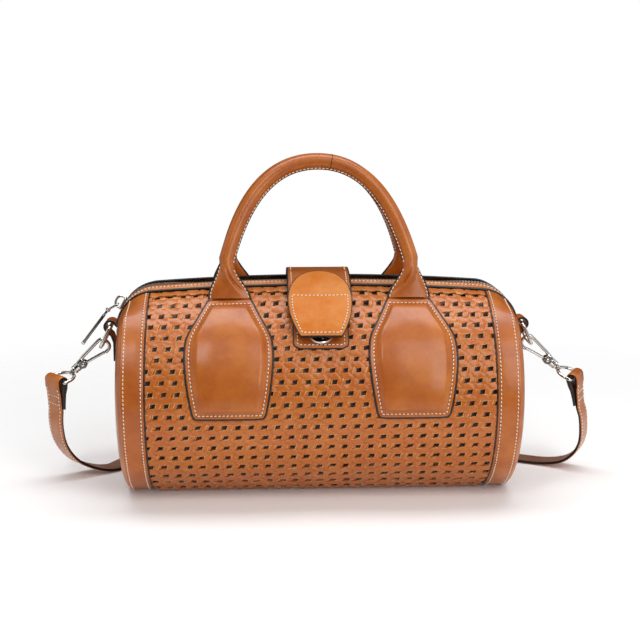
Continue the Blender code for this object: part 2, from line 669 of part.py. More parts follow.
def make_patch(name, x_centre, back):
    """Handle patch: leather that rises over a foam pad, both laid on the barrel."""
    angles = spread(math.radians(PATCH_TOP), math.radians(PATCH_BOTTOM), 12)
    shares = (-1.0, -0.8, -0.5, 0.0, 0.5, 0.8, 1.0)
    middle = (HALF_DEPTH + HALF_HEIGHT) / 2

    def rise(angle, share):
        """How far the patch stands up over its pad, from 0 at the seam to 1 inside."""
        to_side = (1 - abs(share)) * patch_half_width(angle)
        to_end = min(math.radians(PATCH_TOP) - angle, angle - math.radians(PATCH_BOTTOM)) * middle
        return ease(min(to_side, to_end) / PATCH_SEAM)

    def place(offset, inset):
        def point(share, angle):
            half = patch_half_width(angle) - inset
            lift = offset(angle, share)
            spot = body_point(x_centre + share * half, angle, lift)
            return Vector((spot.x, -spot.y, spot.z)) if back else spot
        return point

    def thick_sheet(piece, top, bottom, rows, inset, look):
        bm = bmesh.new()
        bmesh.ops.create_cube(bm, size=2.0)
        bmesh.ops.subdivide_edges(
            bm, edges=[e for e in bm.edges if abs((e.verts[0].co - e.verts[1].co).x) > 1],
            cuts=len(shares) - 2, use_grid_fill=True,
        )
        bmesh.ops.subdivide_edges(
            bm, edges=[e for e in bm.edges if abs((e.verts[0].co - e.verts[1].co).y) > 1],
            cuts=len(rows) - 2, use_grid_fill=True,
        )
        upper, lower = place(top, inset), place(bottom, inset)
        for vert in bm.verts:
            share = shares[round((vert.co.x + 1) / 2 * (len(shares) - 1))]
            angle = rows[::-1][round((vert.co.y + 1) / 2 * (len(rows) - 1))]
            vert.co = (upper if vert.co.z > 0 else lower)(share, angle)
        if back:
            bmesh.ops.reverse_faces(bm, faces=bm.faces)
        bmesh.ops.triangulate(bm, faces=bm.faces)
        add_part(piece, mesh_from(bm, piece), look)

    thick_sheet(
        f"patch_{name}",
        lambda a, s: GAP + PATCH_LEATHER + PATCH_CROWN * rise(a, s),
        lambda a, s: GAP + PATCH_CROWN * rise(a, s), angles, 0.0, LEATHER,
    )
    pad_edge = PAD_INSET / middle
    pad_rows = spread(math.radians(PATCH_TOP) - pad_edge, math.radians(PATCH_BOTTOM) + pad_edge, 8)
    pad_height = PATCH_CROWN - PAD_MARGIN
    thick_sheet(
        f"patch_pad_{name}", lambda a, s: GAP + pad_height, lambda a, s: GAP, pad_rows, PAD_INSET, FOAM,
    )


def neck_anchor():
    """The middle of the neck's lower end, which is sewn down above the front patch."""
    angle = math.radians(PATCH_TOP) + (NECK_THICKNESS / 2 + 2 * GAP) / HALF_HEIGHT
    return body_point(PATCH_X, angle, NECK_SEAT) - Vector((PATCH_X, 0.0, 0.0))


def handle_rise():
    """The distance from the necks' lower ends to the middle of the handle's top."""
    anchor = neck_anchor()
    return math.hypot(HANDLE_TOP_Z - anchor.z, anchor.y + HANDLE_TOP_Y)


def handle_frame(back):
    """The plane of a handle: X across the bag, Y up the handle, from its necks' lower ends."""
    anchor = neck_anchor()
    lean = math.asin((-anchor.y - HANDLE_TOP_Y) / handle_rise())
    up = Vector((0.0, math.sin(lean), math.cos(lean)))
    if back:
        anchor = Vector((anchor.x, -anchor.y, anchor.z))
        up = Vector((up.x, -up.y, up.z))
    right = Vector((1.0, 0.0, 0.0))
    frame = Matrix((right, up, right.cross(up))).transposed().to_4x4()
    return Matrix.Translation(anchor) @ frame


def handle_curve(name, radius, frame, capped, sides):
    """The arch of a handle, from the top of one neck to the top of the other."""
    curve = bpy.data.curves.new(name, "CURVE")
    curve.dimensions = "3D"
    curve.bevel_depth = radius
    curve.bevel_resolution = sides
    curve.resolution_u = HANDLE_SECTIONS
    curve.use_fill_caps = capped
    spline = curve.splines.new("BEZIER")
    spline.bezier_points.add(2)
    foot = Vector((HANDLE_HALF_SPAN, NECK_LENGTH + GAP))
    places = (
        (Vector((-foot.x, foot.y)), Vector((-HANDLE_LEG_PULL.x, HANDLE_LEG_PULL.y))),
        (Vector((0.0, handle_rise())), Vector((HANDLE_TOP_PULL, 0.0))),
        (foot, Vector((-HANDLE_LEG_PULL.x, -HANDLE_LEG_PULL.y))),
    )
    for bezier, (place, pull) in zip(spline.bezier_points, places):
        bezier.handle_left_type = bezier.handle_right_type = "FREE"
        bezier.co = frame @ Vector((place.x, place.y, 0.0))
        bezier.handle_left = frame @ Vector((place.x - pull.x, place.y - pull.y, 0.0))
        bezier.handle_right = frame @ Vector((place.x + pull.x, place.y + pull.y, 0.0))
    return curve


def make_neck(name, sign, frame):
    """The gathered leather between a patch and the round handle: flat below, round above."""
    steps = 9
    around = 12
    foot = Vector((sign * PATCH_X, 0.0))
    top = Vector((sign * HANDLE_HALF_SPAN, NECK_LENGTH))
    direction = Vector((sign * HANDLE_LEG_PULL.x, HANDLE_LEG_PULL.y)).normalized()
    bm = bmesh.new()
    bmesh.ops.create_cone(bm, cap_ends=True, segments=around, radius1=1.0, radius2=1.0, depth=2.0)
    uprights = [e for e in bm.edges if abs(e.verts[0].co.z - e.verts[1].co.z) > 1]
    bmesh.ops.subdivide_edges(bm, edges=uprights, cuts=steps - 1)
    for vert in bm.verts:
        share = (vert.co.z + 1) / 2
        angle = math.atan2(vert.co.y, vert.co.x)
        flat = 1 - ease(share / 0.85)
        half_width = HANDLE_RADIUS + (NECK_HALF_WIDTH - HANDLE_RADIUS) * flat
        half_depth = HANDLE_RADIUS + (NECK_THICKNESS / 2 - HANDLE_RADIUS) * flat
        heading = Vector((0.0, 1.0)).lerp(direction, ease(share)).normalized()
        middle = foot.lerp(top, share)
        along = math.cos(angle) * half_width
        spot = middle + Vector((heading.y, -heading.x)) * along
        vert.co = frame @ Vector((spot.x, spot.y, -math.sin(angle) * half_depth))
    add_part(name, mesh_from(bm, name), LEATHER)


def make_handle(place, back):
    frame = handle_frame(back)
    sleeve = add_part(f"handle_sleeve_{place}", handle_curve("sleeve", HANDLE_RADIUS, frame, False, 3), LEATHER)
    wall = sleeve.modifiers.new("Thickness", "SOLIDIFY")
    wall.thickness = HANDLE_WALL
    wall.offset = -1.0
    core_radius = HANDLE_RADIUS - HANDLE_WALL - GAP
    add_part(f"handle_core_{place}", handle_curve("core", core_radius, frame, True, 1), FOAM)
    for side, sign in SIDES:
        make_neck(f"handle_neck_{place}_{side}", -sign, frame)
        make_patch(f"{place}_{side}", -sign * PATCH_X, back)


def closure_centre_line():
    """The strap's middle line over the zip, as (y, z) points. It starts on the bag's back."""
    points = []
    for y, z in CLOSURE_PATH:
        if z is None:
            lift = GAP + CLOSURE_THICKNESS / 2
            z = body_point(0.0, angle_at_y(-y, lift), lift).z
        points.append(Vector((0.0, y, z)))
    return points


def ribbon(name, centre, half_width, thickness, look):
    """A flat strap across X along a line of points in the YZ plane."""
    half = thickness / 2
    top = []
    for i, point in enumerate(centre):
        along = (centre[min(i + 1, len(centre) - 1)] - centre[max(i - 1, 0)]).normalized()
        top.append(point + Vector((0.0, along.z, -along.y)) * half)
    return sheet(
        name, (-half_width, half_width), range(len(top)),
        lambda x, i: Vector((x, top[i].y, top[i].z)), thickness, look, flip=True,
    )


def make_closure_strap():
    line = closure_centre_line()
    fixed = smooth_path(line, 3)
    cut = HINGE_INDEX * 3
    hinge = fixed[cut]
    along = (fixed[cut + 1] - fixed[cut - 1]).normalized()
    back_part = fixed[:cut] + [hinge - along * GAP / 2]
    front_part = [hinge + along * GAP / 2] + fixed[cut + 1:]
    ribbon("closure_strap", back_part, CLOSURE_HALF_WIDTH, CLOSURE_THICKNESS, LEATHER)
    ribbon("flap_strap", front_part, CLOSURE_HALF_WIDTH, CLOSURE_THICKNESS, LEATHER)


def snap_spot(offset):
    return body_point(0.0, SNAP_ANGLE, 0.0) + body_normal(SNAP_ANGLE) * offset


def snap_heights():
    """Distances of the snap's faces from the barrel's surface, from the patch outwards."""
    socket = 2 * GAP + CLOSURE_PATCH_THICKNESS
    stud = socket + SOCKET_THICKNESS + GAP
    tab = stud + STUD_THICKNESS + GAP
    return socket, stud, tab


def tab_centre_line():
    """The tab's middle line: over the strap's front and straight down to the snap."""
    tab = snap_heights()[2] + TAB_THICKNESS / 2
    strap = smooth_path(closure_centre_line(), 3)
    lift = CLOSURE_THICKNESS / 2 + GAP + TAB_THICKNESS / 2
    points = []
    start = HINGE_INDEX * 3 + 2
    for i in range(start, len(strap)):
        along = (strap[min(i + 1, len(strap) - 1)] - strap[i - 1]).normalized()
        points.append(strap[i] + Vector((0.0, along.z, -along.y)) * lift)
    normal = body_normal(SNAP_ANGLE)
    down = Vector((0.0, -normal.z, normal.y))
    end = snap_spot(tab) + down * TAB_BOTTOM_OVERHANG
    points.append(snap_spot(tab) - down * STUD_RADIUS)
    points.append(end)
    return smooth_path(points, 2)


def make_tab():
    line = tab_centre_line()
    lengths = [0.0]
    for a, b in zip(line, line[1:]):
        lengths.append(lengths[-1] + (b - a).length)

    def half_width(run):
        """Round at the top, widest below it, then drawn in to a flat bottom edge."""
        beyond = run - TAB_ROUND_RUN
        reach = TAB_LOWER_RUN if beyond > 0 else TAB_ROUND_RUN
        return TAB_HALF_WIDTH * math.sqrt(max(1 - (beyond / reach) ** 2, 0.0))

    half = TAB_THICKNESS / 2
    top = []
    for i, point in enumerate(line):
        along = (line[min(i + 1, len(line) - 1)] - line[max(i - 1, 0)]).normalized()
        top.append(point + Vector((0.0, along.z, -along.y)) * half)
    sheet(
        "flap_tab", spread(-1.0, 1.0, 4), range(len(top)),
        lambda s, i: Vector((s * max(half_width(lengths[i]), TAB_TOP_HALF_WIDTH), top[i].y, top[i].z)),
        TAB_THICKNESS, LEATHER, flip=True,
    )


def make_snap():
    socket, stud, tab = snap_heights()
    add_part(
        "snap_socket",
        cylinder_mesh("snap_socket", snap_spot(socket), snap_spot(stud - GAP), SOCKET_RADIUS, 24), METAL,
    )
    add_part(
        "snap_stud",
        cylinder_mesh("snap_stud", snap_spot(stud), snap_spot(tab - GAP), STUD_RADIUS, 20), METAL,
    )
    half = CLOSURE_PATCH_HALF_WIDTH
    offset = GAP + CLOSURE_PATCH_THICKNESS
    sheet(
        "closure_patch", (-half, half), spread(CLOSURE_PATCH_BOTTOM, CLOSURE_PATCH_TOP, 8),
        lambda x, a: body_point(x, a, offset), CLOSURE_PATCH_THICKNESS, LEATHER,
    )


def ring_bar(sign):
    """The middle of the bar on which a D-ring hangs, in its leather loop."""
    return Vector((-sign * (HALF_LENGTH + DOME_HEIGHT + RING_BAR_OUT), 0.0, RING_BAR_Z))


def mirrored(vector, sign):
    return Vector((sign * vector.x, vector.y, vector.z))


def prism_mesh(name, outline, half_width):
    """An outline in X and Z, drawn out along Y to both sides."""
    bm = bmesh.new()
    verts = [bm.verts.new((x, -half_width, z)) for x, z in outline]
    face = bm.faces.new(verts)
    drawn = bmesh.ops.extrude_face_region(bm, geom=[face])
    moved = [item for item in drawn["geom"] if isinstance(item, bmesh.types.BMVert)]
    bmesh.ops.translate(bm, verts=moved, vec=(0.0, 2 * half_width, 0.0))
    bmesh.ops.recalc_face_normals(bm, faces=bm.faces)
    return mesh_from(bm, name)


def make_side_tab(side, sign):
    """Leather folded round the D-ring's bar and sewn flat on the end panel."""
    bar = ring_bar(sign)
    inner = HALF_LENGTH + DOME_HEIGHT + GAP
    outer = inner + LOOP_PLATE_THICKNESS
    shoulder = bar.z + LOOP_BORE_RADIUS
    outline = [
        (inner, LOOP_FOOT_Z), (outer, LOOP_FOOT_Z), (outer, bar.z - LOOP_FLARE), (abs(bar.x), bar.z),
        (inner + LOOP_LEATHER, shoulder), (inner, shoulder - LOOP_LEATHER),
    ]
    plate = prism_mesh(f"side_tab_{side}", [(-sign * x, z) for x, z in outline], LOOP_HALF_WIDTH)
    part = add_part(f"side_tab_{side}", plate, LEATHER)
    reach = Vector((0.0, LOOP_HALF_WIDTH, 0.0))
    roll = cylinder_mesh(f"roll_{side}", bar - reach, bar + reach, LOOP_BORE_RADIUS + LOOP_LEATHER, 20)
    bore = cylinder_mesh(f"bore_{side}", bar - 2 * reach, bar + 2 * reach, LOOP_BORE_RADIUS, 16)
    combine(part, add_cutter(f"roll_{side}", roll), "UNION")
    combine(part, add_cutter(f"bore_{side}", bore), "DIFFERENCE")


def make_ring(side, sign):
    bar = ring_bar(sign)
    reach = mirrored(RING_REACH, sign)
    loop = rounded_loop(RING_HALF_WIDTH, reach.length, RING_NEAR_CORNER, RING_FAR_CORNER)
    down = reach.normalized()
    points = [bar + Vector((0.0, a, 0.0)) + down * b for a, b in loop]
    add_part(f"dring_{side}", wire_curve(f"dring_{side}", points, WIRE_RADIUS, closed=True), METAL)


def hook_frame(sign):
    """A hook's frame: X up its length from the swivel, Z across it, Y along the D-ring's bar."""
    axis = mirrored(HOOK_AXIS, sign)
    wire = ring_bar(sign) + mirrored(RING_REACH, sign)
    top = wire + axis * (WIRE_RADIUS + HOOK_SEAT_GAP + HOOK_WIRE)
    origin = top - axis * HOOK_LENGTH + Vector((0.0, HOOK_Y, 0.0))
    across = mirrored(Vector((-HOOK_AXIS.z, 0.0, HOOK_AXIS.x)), sign)
    frame = Matrix((axis, Vector((0.0, 1.0, 0.0)), across)).transposed().to_4x4()
    return Matrix.Translation(origin) @ frame


def in_frame(frame, along, across, y=0.0):
    return frame @ Vector((along, y, across))


def frame_box(name, frame, low, high):
    mesh = box_mesh(name, low, high, frame)
    if frame.determinant() < 0:
        mesh.flip_normals()
    return mesh


def make_hook(side, sign):
    """Bent hook, the fork that holds its gate and the barrel that its swivel turns in."""
    frame = hook_frame(sign)
    path = [in_frame(frame, p.x, p.y) for p in smooth_path([Vector(p) for p in HOOK_PATH], 2)]
    name = f"hook_{side}"
    part = add_part(name, curve_to_mesh(wire_curve(name, path, HOOK_WIRE), name), METAL)
    fork = frame_box(
        f"fork_{side}", frame, (BARREL_END - HOOK_WIRE, -FORK_HALF_WIDTH, -FORK_HALF_HEIGHT),
        (FORK_END, FORK_HALF_WIDTH, FORK_HALF_HEIGHT),
    )
    barrel = cylinder_mesh(
        f"barrel_{side}", in_frame(frame, BARREL_START, 0.0), in_frame(frame, BARREL_END, 0.0), BARREL_RADIUS
    )
    combine(part, add_cutter(f"fork_{side}", fork), "UNION")
    combine(part, add_cutter(f"barrel_{side}", barrel), "UNION")
    slot_start = PIN_PLACE[0] - GATE_EYE_RADIUS - GAP
    slot = frame_box(
        f"gate_slot_{side}", frame, (slot_start, -FORK_SLOT_HALF_WIDTH, -2 * FORK_HALF_HEIGHT),
        (2 * FORK_END, FORK_SLOT_HALF_WIDTH, FORK_SLOT_TOP),
    )
    wide = 2 * FORK_HALF_WIDTH
    hole = cylinder_mesh(
        f"pin_hole_{side}", in_frame(frame, *PIN_PLACE, -wide), in_frame(frame, *PIN_PLACE, wide),
        PIN_RADIUS + PIN_CLEARANCE,
    )
    cavity = cylinder_mesh(
        f"cavity_{side}", in_frame(frame, BARREL_START + BARREL_WALL, 0.0),
        in_frame(frame, BARREL_START + BARREL_WALL + STEM_HEAD_LENGTH + 2 * GAP, 0.0),
        STEM_HEAD_RADIUS + GAP,
    )
    throat = cylinder_mesh(
        f"throat_{side}", in_frame(frame, 0.0, 0.0), in_frame(frame, BARREL_START + BARREL_WALL + GAP, 0.0),
        STEM_RADIUS + GAP,
    )
    for cutter_name, cutter in (("slot", slot), ("hole", hole), ("cavity", cavity), ("throat", throat)):
        combine(part, add_cutter(f"{cutter_name}_{side}", cutter), "DIFFERENCE")


def make_gate(side, sign):
    """The sprung gate that closes the hook, and the pin that it turns on."""
    frame = hook_frame(sign)
    name = f"gate_{side}"
    path = [in_frame(frame, *p) for p in GATE_PATH]
    part = add_part(name, curve_to_mesh(wire_curve(name, path, GATE_WIRE), name), METAL)
    reach = FORK_SLOT_HALF_WIDTH - GAP
    eye = cylinder_mesh(
        f"eye_{side}", in_frame(frame, *PIN_PLACE, -reach), in_frame(frame, *PIN_PLACE, reach), GATE_EYE_RADIUS
    )
    bore = cylinder_mesh(
        f"eye_bore_{side}", in_frame(frame, *PIN_PLACE, -2 * reach), in_frame(frame, *PIN_PLACE, 2 * reach),
        PIN_RADIUS + PIN_CLEARANCE,
    )
    combine(part, add_cutter(f"eye_{side}", eye), "UNION")
    combine(part, add_cutter(f"eye_bore_{side}", bore), "DIFFERENCE")
    ends = in_frame(frame, *PIN_PLACE, -PIN_HALF_LENGTH), in_frame(frame, *PIN_PLACE, PIN_HALF_LENGTH)
    add_part(f"gate_pin_{side}", cylinder_mesh(f"gate_pin_{side}", *ends, PIN_RADIUS, 12), METAL)


def strap_ring_axes(side, sign):
    """Directions of a strap ring: across the strap, and from the swivel to its outer bar."""
    across, lean = STRAP_RING_SET[side]
    away = (lean - across * lean.dot(across)).normalized()
    return mirrored(across, sign), mirrored(away, sign)


def strap_bar(side, sign):
    return hook_frame(sign).translation + strap_ring_axes(side, sign)[1] * SWIVEL_LENGTH


def make_strap_ring(side, sign):
    """The wire loop that carries the strap, with the headed stem that swivels in the hook."""
    frame = hook_frame(sign)
    across, away = strap_ring_axes(side, sign)
    origin = frame.translation
    loop = rounded_loop(SWIVEL_HALF_WIDTH, SWIVEL_LENGTH, SWIVEL_NEAR_CORNER, SWIVEL_FAR_CORNER)
    points = [origin + across * a + away * b for a, b in loop]
    name = f"strap_ring_{side}"
    part = add_part(name, curve_to_mesh(wire_curve(name, points, SWIVEL_WIRE, closed=True), name), METAL)
    head_start = BARREL_START + BARREL_WALL + GAP
    stem = cylinder_mesh(
        f"stem_{side}", origin, in_frame(frame, head_start + STEM_HEAD_LENGTH / 2, 0.0), STEM_RADIUS, 12
    )
    head = cylinder_mesh(
        f"stem_head_{side}", in_frame(frame, head_start, 0.0),
        in_frame(frame, head_start + STEM_HEAD_LENGTH, 0.0), STEM_HEAD_RADIUS, 12,
    )
    combine(part, add_cutter(f"stem_{side}", stem), "UNION")
    combine(part, add_cutter(f"stem_head_{side}", head), "UNION")


def drop_places(side, sign):
    """Places that the strap passes on its way down, beyond the body's end seam."""
    return [Vector((-sign * (HALF_LENGTH + x), y, z)) for x, y, z in STRAP_DROPS[side]]


def strap_fall(side, sign):
    """The direction in which a strap's fold hangs from its ring, square to the ring's bar."""
    across = strap_ring_axes(side, sign)[0]
    first = drop_places(side, sign)[0]
    fall = (first - strap_bar(side, sign)).normalized()
    return (fall - across * fall.dot(across)).normalized()


def make_strap_fold(side, sign):
    """The strap's end, folded round the ring's bar and sewn to itself."""
    across = strap_ring_axes(side, sign)[0]
    fall = strap_fall(side, sign)
    middle = strap_bar(side, sign)
    face = across.cross(fall).normalized()
    frame = Matrix.Translation(middle) @ Matrix((across, face, fall)).transposed().to_4x4()
    half = STRAP_WIDTH / 2
    name = f"strap_fold_{side}"
    fold = frame_box(name, frame, (-half, -FOLD_LEATHER, 0.0), (half, FOLD_LEATHER, FOLD_LENGTH))
    part = add_part(name, fold, LEATHER)
    bore_radius = FOLD_BORE_RADIUS
    outer_radius = bore_radius + FOLD_LEATHER
    roll = cylinder_mesh(f"fold_roll_{side}", middle - across * half, middle + across * half, outer_radius, 20)
    bore = cylinder_mesh(f"fold_bore_{side}", middle - across * 2 * half, middle + across * 2 * half, bore_radius)
    combine(part, add_cutter(f"fold_roll_{side}", roll), "UNION")
    combine(part, add_cutter(f"fold_bore_{side}", bore), "DIFFERENCE")


def strap_drop(side, sign):
    """The strap's middle line, from the end of its fold down to behind the bag."""
    fall = strap_fall(side, sign)
    start = strap_bar(side, sign) + fall * (FOLD_LENGTH + 2 * GAP)
    places = [start, start + fall * STRAP_THICKNESS, start + fall * 2 * STRAP_THICKNESS]
    return smooth_path(places + drop_places(side, sign), 3)


def strap_widths(line, side, sign):
    """The direction across the strap at each point: as its ring at the top, level on the ground."""
    first = strap_ring_axes(side, sign)[0]
    steps = len(line) - 1
    headings = [(line[min(i + 1, steps)] - line[max(i - 1, 0)]).normalized() for i in range(steps + 1)]
    headings[0] = strap_fall(side, sign)

    def level(heading):
        side = heading.cross(Vector((0.0, 0.0, 1.0))).normalized()
        return -side if side.y > 0 else side

    landing = next(i for i, point in enumerate(line) if point.z < STRAP_REST + GAP)
    directions = []
    for i, (point, heading) in enumerate(zip(line, headings)):
        share = ease(1 - point.z / line[0].z)
        across = level(heading) if i >= landing else first.lerp(level(headings[landing]), share)
        directions.append((across - heading * across.dot(heading)).normalized())
    return directions


def strap_solid(name, line, directions):
    """A strap of constant width and thickness along a line, as one closed loft."""
    steps = len(line) - 1
    bm = bmesh.new()
    bmesh.ops.create_cube(bm, size=2.0)
    long_edges = [e for e in bm.edges if abs(e.verts[0].co.x - e.verts[1].co.x) > 1]
    bmesh.ops.subdivide_edges(bm, edges=long_edges, cuts=steps - 1)
    for vert in bm.verts:
        i = round((vert.co.x + 1) / 2 * steps)
        along = (line[min(i + 1, steps)] - line[max(i - 1, 0)]).normalized()
        across = directions[i]
        face = along.cross(across).normalized()
        vert.co = line[i] + across * vert.co.y * STRAP_WIDTH / 2 + face * vert.co.z * STRAP_THICKNESS / 2
    bmesh.ops.recalc_face_normals(bm, faces=bm.faces)
    bmesh.ops.triangulate(bm, faces=bm.faces)
    return add_part(name, mesh_from(bm, name), LEATHER)


def lie_point(x, z):
    return Vector((x, STRAP_LIE_Y, z))


def turn_back(x, z_start, direction):
    """Points of a half turn upwards that reverses the strap's run at x."""
    radius = FOLD_PITCH / 2
    return [
        lie_point(x + direction * radius * math.cos(a), z_start + radius + radius * math.sin(a))
        for a in spread(-math.pi / 2, math.pi / 2, 6)
    ]


def buckle_bar_height():
    """Height of the buckle's fixed bar, round which the short strap is folded."""
    return GAP + FOLD_LEATHER + GAP + BUCKLE_WIRE


def strap_over_height():
    """Height of the long strap's middle where it lies over the short strap's fold."""
    return buckle_bar_height() + BUCKLE_WIRE + GAP + FOLD_LEATHER + GAP + STRAP_THICKNESS / 2


def make_short_strap():
    """From the left ring to the buckle, where its end is folded round the bar and sewn."""
    line = strap_drop("left", 1)
    fold_end = BUCKLE_X - BUCKLE_FOLD_LENGTH
    raised = 2 * GAP + KEEPER_THICKNESS + STRAP_THICKNESS / 2
    line += [lie_point(KEEPER_X - 0.008, (STRAP_REST + raised) / 2), lie_point(KEEPER_X - 0.001, raised)]
    line += [lie_point(KEEPER_X + KEEPER_WIDTH, raised), lie_point(fold_end + STRAP_THICKNESS, raised)]
    strap = strap_solid("strap_short", line, strap_widths(line, "left", 1))
    height = buckle_bar_height()
    across = Vector((0.0, STRAP_WIDTH / 2, 0.0))
    bar = lie_point(BUCKLE_X, height)
    fold = box_mesh(
        "buckle_fold",
        (fold_end, STRAP_LIE_Y - STRAP_WIDTH / 2, height - FOLD_LEATHER),
        (BUCKLE_X, STRAP_LIE_Y + STRAP_WIDTH / 2, height + FOLD_LEATHER),
    )
    outer = BUCKLE_WIRE + GAP + FOLD_LEATHER
    roll = cylinder_mesh("buckle_roll", bar - across, bar + across, outer, 20)
    bore = cylinder_mesh("buckle_bore", bar - 2 * across, bar + 2 * across, BUCKLE_WIRE + GAP)
    slot = box_mesh(
        "prong_slot", (BUCKLE_X - 0.003, STRAP_LIE_Y - 2 * PRONG_WIRE, height - 2 * outer),
        (BUCKLE_X + 2 * outer, STRAP_LIE_Y + 2 * PRONG_WIRE, height + 2 * outer),
    )
    combine(strap, add_cutter("buckle_fold", fold), "UNION")
    combine(strap, add_cutter("buckle_roll", roll), "UNION")
    combine(strap, add_cutter("buckle_bore", bore), "DIFFERENCE")
    combine(strap, add_cutter("prong_slot", slot), "DIFFERENCE")


def make_long_strap():
    """From the right ring, folded back on itself twice and on through the buckle."""
    first = STRAP_REST
    second = first + FOLD_PITCH
    third = second + FOLD_PITCH
    line = strap_drop("right", -1)
    line += [lie_point(x, first) for x in spread(FOLD_START, FOLD_LEFT + 0.01, 4)]
    line += turn_back(FOLD_LEFT, first, -1)
    line += [lie_point(x, second) for x in spread(FOLD_LEFT + 0.01, FOLD_RIGHT - 0.01, 4)]
    line += turn_back(FOLD_RIGHT, second, 1)
    line += [lie_point(x, third) for x in spread(FOLD_RIGHT - 0.01, FOLD_LEFT + 0.006, 4)]
    over = strap_over_height()
    far_bar = BUCKLE_X + BUCKLE_LENGTH
    line += smooth_path(
        [
            lie_point(FOLD_LEFT - 0.002, third - 0.0012), lie_point(FOLD_LEFT - 0.01, first + 0.002),
            lie_point(far_bar + 0.006, first), lie_point(far_bar - 0.002, first + 0.0004),
            lie_point(BUCKLE_X + 0.006, over - 0.0022), lie_point(BUCKLE_X, over),
            lie_point(BUCKLE_X - BUCKLE_FOLD_LENGTH, over), lie_point(KEEPER_X, over - 0.0006),
            lie_point(STRAP_TIP_X, over - 0.0012),
        ], 3,
    )
    directions = strap_widths(line, "right", -1)
    behind = len(strap_drop("right", -1))
    directions = directions[:behind] + [Vector((0.0, -1.0, 0.0))] * (len(line) - behind)
    part = strap_solid("strap_long", line, directions)
    hole_x = BUCKLE_X + PRONG_HOLE_PLACE
    half_hole = Vector((PRONG_HOLE_LENGTH / 2, PRONG_WIRE + 2 * GAP, 0.0))
    hole = box_mesh("prong_hole", lie_point(hole_x, -0.01) - half_hole, lie_point(hole_x, 0.03) + half_hole)
    combine(part, add_cutter("prong_hole", hole), "DIFFERENCE")


def make_buckle():
    """Wire frame round the strap, the prong that pins it and the keeper for the strap's tip."""
    low = buckle_bar_height()
    high = STRAP_REST + STRAP_THICKNESS / 2 + 2 * GAP + BUCKLE_WIRE + 0.0004
    loop = rounded_loop(BUCKLE_HALF_WIDTH, BUCKLE_LENGTH, 0.0016, 0.0016, 3)
    points = [
        Vector((BUCKLE_X + b, STRAP_LIE_Y + a, low + (high - low) * b / BUCKLE_LENGTH)) for a, b in loop
    ]
    add_part("strap_buckle", wire_curve("strap_buckle", points, BUCKLE_WIRE, closed=True), METAL)
    end = high + BUCKLE_WIRE + GAP + PRONG_WIRE
    eye_radius = BUCKLE_WIRE + GAP + PRONG_WIRE
    path = [
        lie_point(BUCKLE_X + eye_radius - PRONG_WIRE / 2, low), lie_point(BUCKLE_X + 0.0055, low + 0.0003),
        lie_point(BUCKLE_X + PRONG_HOLE_PLACE, low + 0.0014), lie_point(BUCKLE_X + 0.012, end - 0.0009),
        lie_point(BUCKLE_X + BUCKLE_LENGTH - 0.001, end), lie_point(BUCKLE_X + BUCKLE_LENGTH + 0.001, end),
    ]
    wire = curve_to_mesh(wire_curve("buckle_prong", path, PRONG_WIRE), "buckle_prong")
    prong = add_part("buckle_prong", wire, METAL)
    reach = Vector((0.0, PRONG_WIRE, 0.0))
    bar = lie_point(BUCKLE_X, low)
    eye = cylinder_mesh("prong_eye", bar - reach, bar + reach, eye_radius)
    bore = cylinder_mesh("prong_bore", bar - 2 * reach, bar + 2 * reach, BUCKLE_WIRE + GAP)
    combine(prong, add_cutter("prong_eye", eye), "UNION")
    combine(prong, add_cutter("prong_bore", bore), "DIFFERENCE")
    height = strap_over_height() + STRAP_THICKNESS / 2 + GAP
    half = STRAP_WIDTH / 2 + GAP
    outer = box_mesh(
        "strap_keeper", (KEEPER_X, STRAP_LIE_Y - half - KEEPER_THICKNESS, GAP),
        (KEEPER_X + KEEPER_WIDTH, STRAP_LIE_Y + half + KEEPER_THICKNESS, height + KEEPER_THICKNESS),
    )
    keeper = add_part("strap_keeper", outer, LEATHER)
    inner = box_mesh(
        "keeper_hole", (KEEPER_X - 0.01, STRAP_LIE_Y - half, GAP + KEEPER_THICKNESS),
        (KEEPER_X + KEEPER_WIDTH + 0.01, STRAP_LIE_Y + half, height),
    )
    combine(keeper, add_cutter("keeper_hole", inner), "DIFFERENCE")


def turn_on(name, place, pieces, parent=None):
    """An empty on a joint's axis, with the pieces that turn there parented to it."""
    pivot = bpy.data.objects.new(name, None)
    PARTS.objects.link(pivot)
    pivot.parent = parent
    pivot.matrix_world = Matrix.Translation(place)
    for piece in pieces:
        PARTS.objects[piece].parent = pivot
        PARTS.objects[piece].location = -place
    return pivot


def flap_fold():
    """The line on the closure strap's upper face along which its front part folds back."""
    line = smooth_path(closure_centre_line(), 3)
    cut = HINGE_INDEX * 3
    along = (line[cut + 1] - line[cut - 1]).normalized()
    return line[cut] + Vector((0.0, along.z, -along.y)) * CLOSURE_THICKNESS / 2


